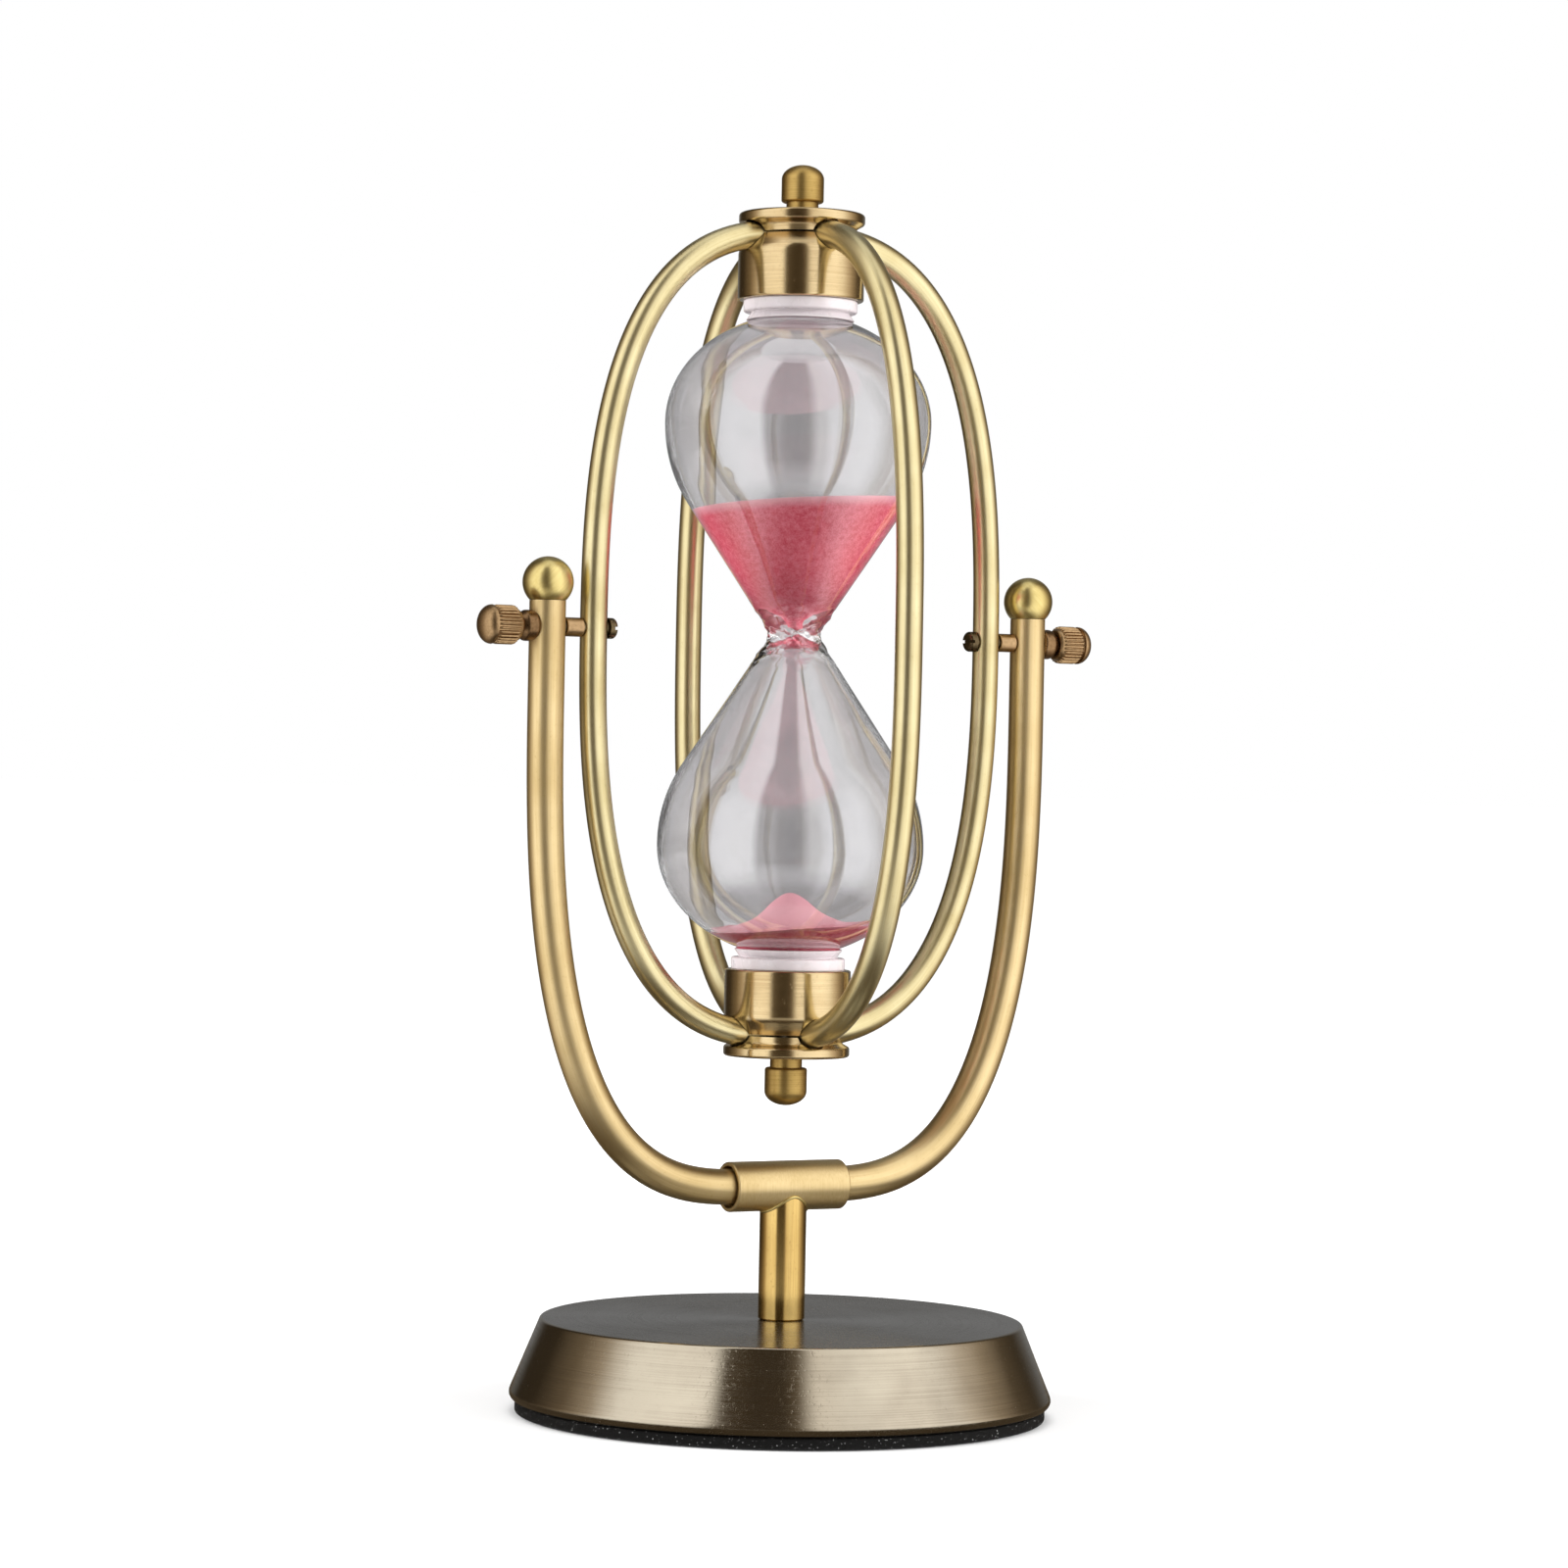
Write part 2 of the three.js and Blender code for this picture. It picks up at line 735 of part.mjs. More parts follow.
function add(group, name, geometry, finish) {
  const mesh = new THREE.Mesh(geometry, new THREE.MeshStandardMaterial(finish));
  mesh.name = name;
  group.add(mesh);
  return mesh;
}

const hourglass = new THREE.Group();
hourglass.name = "rotating_hourglass";

add(hourglass, "base_pad", basePad(), blackFoam);
add(hourglass, "base_cover", baseCover(), brushedBase);
add(hourglass, "base_weight", baseWeight(), castIron);
add(hourglass, "base_bolt", baseBolt(), steel);
add(hourglass, "base_washer", baseWasher(), steel);
add(hourglass, "post", post(), satinBrass);
add(hourglass, "tee_sleeve", teeSleeve(), satinBrass);
add(hourglass, "tee_stud", teeStud(), steel);
add(hourglass, "yoke", yoke(), satinBrass);
add(hourglass, "right_ball", ball(), satinBrass).position.x = yokeHalfWidth;
add(hourglass, "left_ball", ball(), satinBrass).position.x = -yokeHalfWidth;

for (const side of ["right", "left"]) {
  const pivot = new THREE.Group();
  pivot.position.z = pivotHeight;
  pivot.rotation.z = side === "right" ? 0 : Math.PI;
  add(pivot, `${side}_pivot_screw`, pivotScrew(), bronze);
  add(pivot, `${side}_spacer`, spacer(), bronze);
  add(pivot, `${side}_collar`, collar(), bronze);
  add(pivot, `${side}_thumb_nut`, thumbNut(), bronze);
  hourglass.add(pivot);
}

const cage = new THREE.Group();
cage.position.z = pivotHeight;
hourglass.add(cage);

add(cage, "glass", glass(), clearGlass);
add(cage, "upper_sand", upperSand(), pinkSand);
add(cage, "lower_sand", lowerSand(), pinkSand);
rodNames.forEach((name, i) => {
  const hasPivot = name === "right" || name === "left";
  add(cage, `${name}_rod`, hasPivot ? pivotRod() : rod(), satinBrass).rotation.z = (i * Math.PI) / 2;
});

for (const end of ["top", "bottom"]) {
  const cap = new THREE.Group();
  cap.rotation.x = end === "top" ? 0 : Math.PI;
  add(cap, `${end}_gasket`, gasket(), paleSilicone);
  add(cap, `${end}_stopper`, stopper(), cork);
  add(cap, `${end}_cup`, cup(), polishedBrass);
  add(cap, `${end}_flange`, flange(), polishedBrass);
  add(cap, `${end}_cap_screw`, capScrew(), steel);
  add(cap, `${end}_finial`, finial(), polishedBrass);
  cage.add(cap);
}

export default hourglass;
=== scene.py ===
# %% [markdown]
# # A rotating hourglass
# A glass double bulb stands in a cage of four bent brass rods. The cage turns end over end on two
# pivots in a U-shaped yoke, and the yoke is held by a sleeve on a short post on a weighted base.
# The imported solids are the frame: every piece below keeps to their sizes, is made smoother and
# finer than they are, and rides on the body that moves it. Lengths on the object are millimetres,
# and places in the studio are metres.

# %% The frame
import json
import math

import bmesh
import bpy
import numpy as np
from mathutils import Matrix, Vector


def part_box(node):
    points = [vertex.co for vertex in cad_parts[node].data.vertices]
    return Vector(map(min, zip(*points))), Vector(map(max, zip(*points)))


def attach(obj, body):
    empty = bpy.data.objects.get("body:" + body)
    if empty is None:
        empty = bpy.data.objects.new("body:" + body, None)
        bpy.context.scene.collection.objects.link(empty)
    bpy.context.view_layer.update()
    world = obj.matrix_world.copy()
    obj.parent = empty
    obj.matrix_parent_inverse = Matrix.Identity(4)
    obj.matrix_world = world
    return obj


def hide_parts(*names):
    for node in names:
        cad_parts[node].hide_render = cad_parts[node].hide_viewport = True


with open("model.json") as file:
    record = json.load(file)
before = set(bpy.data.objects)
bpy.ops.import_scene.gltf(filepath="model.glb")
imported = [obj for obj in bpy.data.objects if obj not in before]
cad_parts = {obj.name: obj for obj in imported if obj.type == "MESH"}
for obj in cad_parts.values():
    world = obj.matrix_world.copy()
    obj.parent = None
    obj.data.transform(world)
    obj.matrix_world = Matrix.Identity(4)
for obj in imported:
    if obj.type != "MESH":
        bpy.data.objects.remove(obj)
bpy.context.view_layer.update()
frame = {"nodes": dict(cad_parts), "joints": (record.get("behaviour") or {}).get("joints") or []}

scene = bpy.context.scene
spin = next(joint for joint in frame["joints"] if joint["name"] == "cage_spin")
pivot = 1000 * spin["pos_m"][2]
print("the cage turns at a height of", round(pivot, 2), "mm")

# %% [markdown]
# Shader maths reads best as plain sums. A small class wraps a socket, so that `1 - mask` or
# `grain * 0.3` adds the Math node it needs. Every other node comes from one method, which takes the
# node's type, its settings and what goes into its sockets.


# %% Node writing
def operator(operation, swapped=False):
    def apply(self, other):
        pair = (other, self) if swapped else (self, other)
        return self.graph.math(operation, *pair)

    return apply


class Wire:
    """A value in a node tree. Sums and products on it add Math nodes."""

    def __init__(self, graph, socket):
        self.graph = graph
        self.socket = socket

    __add__ = operator("ADD")
    __sub__ = operator("SUBTRACT")
    __rsub__ = operator("SUBTRACT", swapped=True)
    __mul__ = operator("MULTIPLY")
    __truediv__ = operator("DIVIDE")


class Outputs:
    """The output sockets of one node, by name or number."""

    def __init__(self, graph, made):
        self.graph = graph
        self.made = made

    def __getitem__(self, key):
        return Wire(self.graph, self.made.outputs[key])


class Graph:
    """A node tree that is written as expressions."""

    def __init__(self, tree):
        self.tree = tree
        tree.nodes.clear()

    def node(self, kind, settings=None, sockets=None):
        made = self.tree.nodes.new(kind)
        for name, value in (settings or {}).items():
            if name == "stops":
                ramp = made.color_ramp.elements
                while len(ramp) < len(value):
                    ramp.new(1.0)
                for element, (position, colour) in zip(ramp, value):
                    element.position = position
                    element.color = colour
            else:
                setattr(made, name, value)
        for key, value in (sockets or {}).items():
            if isinstance(value, Wire):
                self.tree.links.new(value.socket, made.inputs[key])
            else:
                made.inputs[key].default_value = value
        return Outputs(self, made)

    def math(self, operation, first, second=0.0):
        return self.node("ShaderNodeMath", {"operation": operation}, {0: first, 1: second})[0]

    def limited(self, value):
        settings = {"operation": "ADD", "use_clamp": True}
        return self.node("ShaderNodeMath", settings, {0: value, 1: 0.0})[0]

    def mixed(self, factor, first, second):
        settings = {"data_type": "RGBA"}
        return self.node("ShaderNodeMix", settings, {0: factor, 6: first, 7: second})[2]

    def stretched(self, vector, factors):
        settings = {"operation": "MULTIPLY"}
        return self.node("ShaderNodeVectorMath", settings, {0: vector, 1: factors})[0]

    def noise(self, vector, scale, detail=2.0, roughness=0.5):
        sockets = {"Vector": vector, "Scale": scale, "Detail": detail, "Roughness": roughness}
        return self.node("ShaderNodeTexNoise", None, sockets)[0]

    def ranged(self, value, low, high, to_low=0.0, to_high=1.0):
        sockets = {0: value, 1: low, 2: high, 3: to_low, 4: to_high}
        return self.node("ShaderNodeMapRange", None, sockets)[0]

    def place(self):
        """Object coordinates in millimetres."""
        where = self.node("ShaderNodeTexCoord")["Object"]
        return self.stretched(where, (1000, 1000, 1000))


def tone(red, green, blue):
    """A display colour of 0 to 255 as the linear colour that a shader takes."""

    def linear(value):
        share = value / 255
        return share / 12.92 if share <= 0.04045 else ((share + 0.055) / 1.055) ** 2.4

    return (linear(red), linear(green), linear(blue), 1.0)


def surface(name):
    material = bpy.data.materials.new(name)
    material.use_nodes = True
    return material, Graph(material.node_tree)


def shaded(graph, sockets):
    shader = graph.node("ShaderNodeBsdfPrincipled", None, sockets)
    graph.node("ShaderNodeOutputMaterial", None, {"Surface": shader["BSDF"]})


print("node writing is ready")

# %% [markdown]
# The metal is satin brass in several tones. Its life is in the fine marks that the polishing belt
# or the lathe left, which follow each piece: along a bent rod, but round a turned cap. Plain Object
# coordinates would run the marks straight through a bend. So every metal piece carries an
# attribute, `lay`, that holds the place round it and along it, and one function writes all the
# metals by stretching a noise over `lay`. Slow clouds of tarnish and small specks break up the shine.

# %% Metals
cloud_scale = 0.06
speck_scale = 1.3
metal_bump = 0.00008


def brushed_metal(name, bright, dull, polish, lines, depth, specks=0.25, anisotropy=0.0, streaks=0.22):
    """A metal of two tones. `lines` stretches its hairs, and the rest says how strong each mark is."""
    material, graph = surface(name)
    lay = graph.node("ShaderNodeAttribute", {"attribute_name": "lay"})["Vector"]
    place = graph.place()
    hairs = graph.noise(graph.stretched(lay, lines), 1.0, 3.0, 0.6)
    clouds = graph.noise(place, cloud_scale, 3.0)
    spots = graph.ranged(graph.noise(place, speck_scale, 3.0, 0.7), 0.58, 0.74)
    tarnish = graph.limited(clouds * 1.5 - 0.5 + (hairs - 0.5) * 0.9 + spots * specks)
    shine = graph.limited((hairs - 0.5) * streaks + (clouds - 0.5) * 0.12 + spots * 0.1 + polish)
    height = hairs + spots * -0.5
    bump = {"Strength": depth, "Distance": metal_bump, "Height": height}
    sockets = {
        "Base Color": graph.mixed(tarnish, bright, dull),
        "Roughness": shine,
        "Metallic": 1.0,
        "Anisotropic": anisotropy,
        "Anisotropic Rotation": 0.25,
        "Normal": graph.node("ShaderNodeBump", None, bump)["Normal"],
    }
    shaded(graph, sockets)
    return material


along_bar = (2.6, 2.6, 0.045)
round_turning = (0.05, 0.05, 4.0)
round_cover = (0.02, 0.02, 5.0)
even_grain = (1.4, 1.4, 1.4)
satin_brass = brushed_metal(
    "satin_brass", tone(226, 202, 152), tone(198, 170, 114), polish=0.39, lines=along_bar, depth=0.1
)
rod_brass = brushed_metal(
    "rod_brass", tone(226, 213, 168), tone(188, 168, 112), polish=0.32, lines=along_bar,
    depth=0.05, specks=0.2, streaks=0.12,
)
turned_brass = brushed_metal(
    "turned_brass", tone(226, 207, 142), tone(188, 163, 90), polish=0.3, lines=even_grain,
    depth=0.02, specks=0.1, streaks=0.1,
)
post_brass = brushed_metal(
    "post_brass", tone(212, 180, 112), tone(168, 134, 72), polish=0.14, lines=along_bar,
    depth=0.06, streaks=0.12,
)
cap_brass = brushed_metal(
    "cap_brass", tone(218, 196, 152), tone(176, 148, 104), polish=0.18, lines=round_turning,
    depth=0.1, anisotropy=0.5,
)
finial_brass = brushed_metal(
    "finial_brass", tone(194, 163, 98), tone(136, 105, 50), polish=0.4, lines=round_turning,
    depth=0.03, specks=0.35, anisotropy=0.3, streaks=0.1,
)
brown_bronze = brushed_metal(
    "brown_bronze", tone(188, 156, 116), tone(118, 92, 60), polish=0.32, lines=even_grain,
    depth=0.05, specks=0.2,
)
collar_bronze = brushed_metal(
    "collar_bronze", tone(150, 118, 84), tone(84, 62, 38), polish=0.28, lines=even_grain,
    depth=0.1, specks=0.5,
)
dark_bronze = brushed_metal(
    "dark_bronze", tone(112, 96, 70), tone(58, 48, 34), polish=0.3, lines=even_grain,
    depth=0.15, specks=0.5,
)
spun_bronze = brushed_metal(
    "spun_bronze", tone(187, 177, 158), tone(149, 138, 121), polish=0.16, lines=round_cover,
    depth=0.25, specks=0.1, anisotropy=0.8, streaks=0.34,
)
# A darker, greyer copy of spun_bronze for the faces that look up: painted shade on the top of the base.
spun_top_painted_shade = brushed_metal(
    "spun_top_painted_shade", tone(166, 163, 156), tone(142, 139, 132), polish=0.22, lines=round_cover,
    depth=0.25, specks=0.1, anisotropy=0.8, streaks=0.3,
)
turned_steel = brushed_metal(
    "turned_steel", tone(190, 190, 186), tone(130, 130, 128), polish=0.3, lines=round_turning, depth=0.2
)
print("metals:", [m.name for m in bpy.data.materials if "brass" in m.name or "bronze" in m.name])

# %% [markdown]
# Glass, sand, silicone and the rest are not metal. The glass is hand blown, so its surface ripples a
# little, and it is faintly grey. A low index keeps the bulbs from bending the picture behind them too
# much, and a coat of a higher index gives back the bright reflections of real glass. Lamps have to
# reach the sand through it: for shadow rays a Mix Shader makes it transparent, and the eye still sees
# it bend the light. The sand's grains are finer than a pixel. Millions of small balls could stand for
# them, but noises give the same colour and the same rough surface with no weight. A second attribute,
# `rim`, paints light into the sand's colour: it makes the sand paler where it is thin at its edge
# and light comes through, and near its top, where light falls from above.


# %% Glass and sand
def blown_glass():
    material, graph = surface("blown_glass")
    place = graph.place()
    ripple = graph.noise(graph.stretched(place, (1, 1, 0.55)), 0.05, 2.0)
    smudge = graph.ranged(graph.noise(place, 0.09, 4.0, 0.6), 0.45, 0.75)
    bump = {"Strength": 0.25, "Distance": 0.0012, "Height": ripple}
    sockets = {
        "Base Color": graph.mixed(smudge, tone(228, 227, 228), tone(220, 219, 221)),
        "Roughness": smudge * 0.02,
        "IOR": 1.36,
        "Transmission Weight": 1.0,
        "Specular IOR Level": 1.0,
        "Coat Weight": 1.0,
        "Coat IOR": 2.0,
        "Normal": graph.node("ShaderNodeBump", None, bump)["Normal"],
    }
    clear = graph.node("ShaderNodeBsdfPrincipled", None, sockets)["BSDF"]
    open_way = graph.node("ShaderNodeBsdfTransparent", None, {"Color": tone(252, 252, 252)})["BSDF"]
    shadow = graph.node("ShaderNodeLightPath")["Is Shadow Ray"]
    both = graph.node("ShaderNodeMixShader", None, {0: shadow, 1: clear, 2: open_way})["Shader"]
    graph.node("ShaderNodeOutputMaterial", None, {"Surface": both})
    return material


def dyed_sand():
    material, graph = surface("dyed_sand")
    place = graph.place()
    grain = graph.noise(place, 3.2, 3.0, 0.8)
    mottle = graph.noise(place, 0.9, 3.0, 0.7)
    drift = graph.noise(place, 0.12, 3.0)
    shade = (grain - 0.5) * 2.0 + (mottle - 0.5) * 2.0 + (drift - 0.5) * 0.6 + 0.5
    colour = graph.mixed(graph.limited(shade), tone(218, 78, 100), tone(250, 144, 162))
    rim = graph.node("ShaderNodeAttribute", {"attribute_name": "rim"})["Fac"]
    bump = {"Strength": 0.6, "Distance": 0.0002, "Height": grain + mottle}
    sockets = {
        # rim mixes in a pale pink: painted light at the thin edge and on the top of the sand.
        "Base Color": graph.mixed(rim, colour, tone(255, 198, 208)),
        "Roughness": graph.ranged(grain, 0.3, 0.7, 0.75, 0.95),
        "Normal": graph.node("ShaderNodeBump", None, bump)["Normal"],
    }
    shaded(graph, sockets)
    return material


def soft_silicone():
    material, graph = surface("soft_silicone")
    place = graph.place()
    cloud = graph.noise(place, 0.25, 3.0)
    bump = {"Strength": 0.1, "Distance": 0.0002, "Height": graph.noise(place, 1.5, 2.0)}
    sockets = {
        "Base Color": graph.mixed(cloud, tone(214, 208, 210), tone(206, 195, 198)),
        "Roughness": graph.ranged(cloud, 0.3, 0.7, 0.22, 0.36),
        "Coat Weight": 0.4,
        "Normal": graph.node("ShaderNodeBump", None, bump)["Normal"],
    }
    shaded(graph, sockets)
    return material


def speckled(name, first, second, scale, roughness, depth):
    material, graph = surface(name)
    place = graph.place()
    grain = graph.noise(place, scale, 4.0, 0.65)
    bump = {"Strength": depth, "Distance": 0.0003, "Height": grain}
    sockets = {
        "Base Color": graph.mixed(graph.ranged(grain, 0.35, 0.65), first, second),
        "Roughness": graph.ranged(grain, 0.3, 0.7, roughness, roughness + 0.15),
        "Normal": graph.node("ShaderNodeBump", None, bump)["Normal"],
    }
    shaded(graph, sockets)
    return material


def foam_pad():
    material, graph = surface("foam_pad")
    place = graph.place()
    pores = graph.noise(place, 1.1, 4.0, 0.7)
    glints = graph.ranged(graph.noise(place, 2.4, 1.0), 0.7, 0.76)
    bump = {"Strength": 0.7, "Distance": 0.0003, "Height": pores}
    sockets = {
        "Base Color": graph.mixed(glints, tone(9, 9, 9), tone(170, 170, 170)),
        "Roughness": graph.ranged(glints, 0.0, 1.0, 0.85, 0.3),
        "Normal": graph.node("ShaderNodeBump", None, bump)["Normal"],
    }
    shaded(graph, sockets)
    return material


glass = blown_glass()
sand = dyed_sand()
silicone = soft_silicone()
foam = foam_pad()
cork = speckled(
    "cork", tone(206, 170, 120), tone(150, 108, 66), scale=0.7, roughness=0.75, depth=0.5
)
iron = speckled("iron", tone(70, 70, 72), tone(38, 38, 40), scale=0.5, roughness=0.6, depth=0.6)
print("materials:", len(bpy.data.materials))

# %% [markdown]
# Most pieces are turned on a lathe, so they come from an outline that is carried round an axis. The
# Screw modifier could do that too, but points worked out in Python can also be laid along the pivot
# or turned over to the other end. An outline is a list of corners, each with its own rounding. Beside
# each rounded corner a close extra point keeps the flat next to it flat when it is shaded smooth.

# %% Turning
corner_steps = 8
flat_guard = 0.12
on_axis = 1e-9


def rounded(before, corner, after):
    """The points of one corner: an arc between two guard points, or the corner itself."""
    point = np.array(corner[:2], float)
    if len(corner) < 3:
        return [point]
    back = np.array(before[:2], float) - point
    ahead = np.array(after[:2], float) - point
    back /= np.linalg.norm(back)
    ahead /= np.linalg.norm(ahead)
    half = math.acos(float(back @ ahead)) / 2
    reach = corner[2] / math.tan(half)
    middle = (back + ahead) / np.linalg.norm(back + ahead)
    centre = point + middle * corner[2] / math.sin(half)
    start = point + back * reach - centre
    end = point + ahead * reach - centre
    turn = math.atan2(start[0] * end[1] - start[1] * end[0], float(start @ end))
    made = [point + back * (reach + flat_guard)]
    for step in range(corner_steps + 1):
        angle = turn * step / corner_steps
        cosine, sine = math.cos(angle), math.sin(angle)
        swung = [start[0] * cosine - start[1] * sine, start[0] * sine + start[1] * cosine]
        made.append(centre + np.array(swung))
    made.append(point + ahead * (reach + flat_guard))
    return made


def outline(corners):
    """The points of an outline whose corners are (radius, height) or (radius, height, rounding)."""
    count = len(corners)
    points = []
    for i, corner in enumerate(corners):
        points += rounded(corners[i - 1], corner, corners[(i + 1) % count])
    return np.array(points)


def turned(profile, sides=96):
    """Points and faces of a body turned about Z. An outline that leaves the axis closes on itself."""
    angles = np.linspace(0, 2 * math.pi, sides, endpoint=False)
    points = []
    rings = []
    for radius, height in profile:
        if radius < on_axis:
            rings.append([len(points)] * sides)
            points.append((0, 0, height))
        else:
            rings.append(list(range(len(points), len(points) + sides)))
            points += [(radius * math.cos(a), radius * math.sin(a), height) for a in angles]
    if profile[0][0] > on_axis:
        rings.append(rings[0])
    faces = []
    for low, high in zip(rings, rings[1:]):
        for j in range(sides):
            k = (j + 1) % sides
            face = list(dict.fromkeys([low[j], low[k], high[k], high[j]]))
            if len(face) > 2:
                faces.append(face)
    return np.array(points, float), faces


def along_x(shape, side=1):
    """Lays a shape that was turned about Z along the pivot axis, on the right or on the left."""
    points, faces = shape
    x, y, z = points.T
    return np.stack([side * z, side * y, pivot - x], axis=1), faces


def in_cage(shape, end=1):
    """Puts a shape that was made at the top of the cage at the top, or turns it over to the bottom."""
    points, faces = shape
    return points * (1, end, end) + (0, 0, pivot), faces


square = outline([(0, 0), (5, 0, 1), (5, 5), (0, 5)])
print("a square with one rounded corner has", len(square), "points")

# %% [markdown]
# Points and faces become a plain mesh, at the origin and with its place in its points. Slots and
# channels are cut with the Boolean modifier, which keeps the cut edges crisp. It leaves some points
# lying on one another, so they are merged after it. A modifier's result is then swapped in for the
# mesh, because only a plain mesh can ride on a body.

# %% Meshes and cuts
merge_distance = 1e-6


def object_of(name, shape):
    points, faces = shape
    mesh = bpy.data.meshes.new(name)
    mesh.from_pydata((points / 1000).tolist(), [], faces)
    piece = bpy.data.objects.new(name, mesh)
    scene.collection.objects.link(piece)
    return piece


def evaluated(piece):
    """Swaps a piece's mesh for what its modifiers make of it, and takes the modifiers off."""
    graph = bpy.context.evaluated_depsgraph_get()
    graph.update()
    mesh = bpy.data.meshes.new_from_object(
        piece.evaluated_get(graph), preserve_all_data_layers=True, depsgraph=graph
    )
    piece.modifiers.clear()
    old = piece.data
    piece.data = mesh
    bpy.data.meshes.remove(old)
    mesh.name = piece.name


def merged(mesh):
    """Merges points that lie on one another, and takes away the faces that this leaves empty."""
    work = bmesh.new()
    work.from_mesh(mesh)
    bmesh.ops.remove_doubles(work, verts=work.verts, dist=merge_distance)
    bmesh.ops.dissolve_degenerate(work, edges=work.edges, dist=merge_distance)
    work.to_mesh(mesh)
    work.free()


def carved(piece, *cutters):
    """Cuts other objects out of a piece, and removes them."""
    for cutter in cutters:
        cut = piece.modifiers.new("cut", "BOOLEAN")
        cut.operation = "DIFFERENCE"
        cut.solver = "EXACT"
        cut.object = cutter
    evaluated(piece)
    merged(piece.data)
    for cutter in cutters:
        bpy.data.objects.remove(cutter)


print("points closer than", merge_distance * 1000, "mm are merged after a cut")

# %% [markdown]
# A finished piece rides on a body and stands for the imported solid that it replaces. Turned pieces
# get their `lay` from their own points: the angle round the axis, and the way out and up. Faces that
# meet at more than a set angle keep a sharp edge.

# %% Finishing
sharp_degrees = 38


def points_of(piece):
    flat = np.zeros(3 * len(piece.data.vertices), np.float32)
    piece.data.vertices.foreach_get("co", flat)
    return flat.reshape(-1, 3) * 1000


def mark_turning(piece, axis):
    x, y, z = points_of(piece).T.astype(float)
    if axis == "X":
        x, y, z = z - pivot, y, x
    radius = np.hypot(x, y)
    angle = np.arctan2(y, x)
    reach = radius.max()
    lay = np.stack([reach * np.cos(angle), reach * np.sin(angle), radius + z], axis=1)
    old = piece.data.attributes.get("lay")
    if old:
        piece.data.attributes.remove(old)
    stored = piece.data.attributes.new("lay", "FLOAT_VECTOR", "POINT")
    stored.data.foreach_set("vector", lay.astype(np.float32).ravel())


def finished(piece, material, body, slot, *nodes):
    mesh = piece.data
    if material.name not in mesh.materials:
        mesh.materials.clear()
        mesh.materials.append(material)
    mesh.shade_smooth()
    mesh.set_sharp_from_angle(angle=math.radians(sharp_degrees))
    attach(piece, body)
    if nodes:
        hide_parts(*nodes)
    print(piece.name, "rides on", body, "with", len(mesh.polygons), "faces")
    return piece


def turned_piece(node, shape, material, body, slot, axis="Z", cutters=()):
    piece = object_of(node + "_turned", shape)
    if cutters:
        carved(piece, *cutters)
    mark_turning(piece, axis)
    return finished(piece, material, body, slot, node)


print("edges over", sharp_degrees, "degrees stay sharp")

# %% [markdown]
# Bars and ridges repeat or follow a path, which is what Geometry Nodes are for. The first tree
# sweeps a circle along a path of points and sets copies of the bar round the axis of the glass. On
# the way it stores the place round the bar and along it as `lay`. The second sets copies of one ridge
# round the pivot axis. Both end in Realize Instances and Set Material, so that the result can become
# a plain mesh. The trees work in millimetres, and their last step scales to Blender's metres.

# %% Geometry Nodes
ring_inputs = {"Copies": "Int", "Place": "Vector", "Material": "Material"}
to_metres = (0.001, 0.001, 0.001)


def new_tree(name, inputs):
    tree = bpy.data.node_groups.new(name, "GeometryNodeTree")
    tree.interface.new_socket("Geometry", in_out="INPUT", socket_type="NodeSocketGeometry")
    for label, kind in inputs.items():
        tree.interface.new_socket(label, in_out="INPUT", socket_type="NodeSocket" + kind)
    tree.interface.new_socket("Geometry", in_out="OUTPUT", socket_type="NodeSocketGeometry")
    graph = Graph(tree)
    return tree, graph, graph.node("NodeGroupInput")


def ring_of(graph, geometry, given, axis):
    """Copies of some geometry round an axis, realized and with their material."""
    points = graph.node("GeometryNodePoints", None, {"Count": given["Copies"]})["Points"]
    share = graph.node("GeometryNodeInputIndex")[0] / given["Copies"]
    angle = share * (2 * math.pi)
    spin = graph.node("ShaderNodeCombineXYZ", None, {axis: angle})[0]
    sockets = {"Points": points, "Instance": geometry, "Rotation": spin}
    copies = graph.node("GeometryNodeInstanceOnPoints", None, sockets)["Instances"]
    real = graph.node("GeometryNodeRealizeInstances", None, {"Geometry": copies})["Geometry"]
    sockets = {"Geometry": real, "Translation": given["Place"], "Scale": to_metres}
    placed = graph.node("GeometryNodeTransform", None, sockets)["Geometry"]
    sockets = {"Geometry": placed, "Material": given["Material"]}
    done = graph.node("GeometryNodeSetMaterial", None, sockets)["Geometry"]
    graph.node("NodeGroupOutput", None, {"Geometry": done})


def named(graph, geometry, name, kind, value):
    """Geometry with a value stored on its points under a name."""
    settings = {"data_type": kind, "domain": "POINT"}
    sockets = {"Geometry": geometry, "Name": name, "Value": value}
    return graph.node("GeometryNodeStoreNamedAttribute", settings, sockets)["Geometry"]


def recalled(graph, name, kind):
    settings = {"data_type": kind}
    return graph.node("GeometryNodeInputNamedAttribute", settings, {"Name": name})["Attribute"]


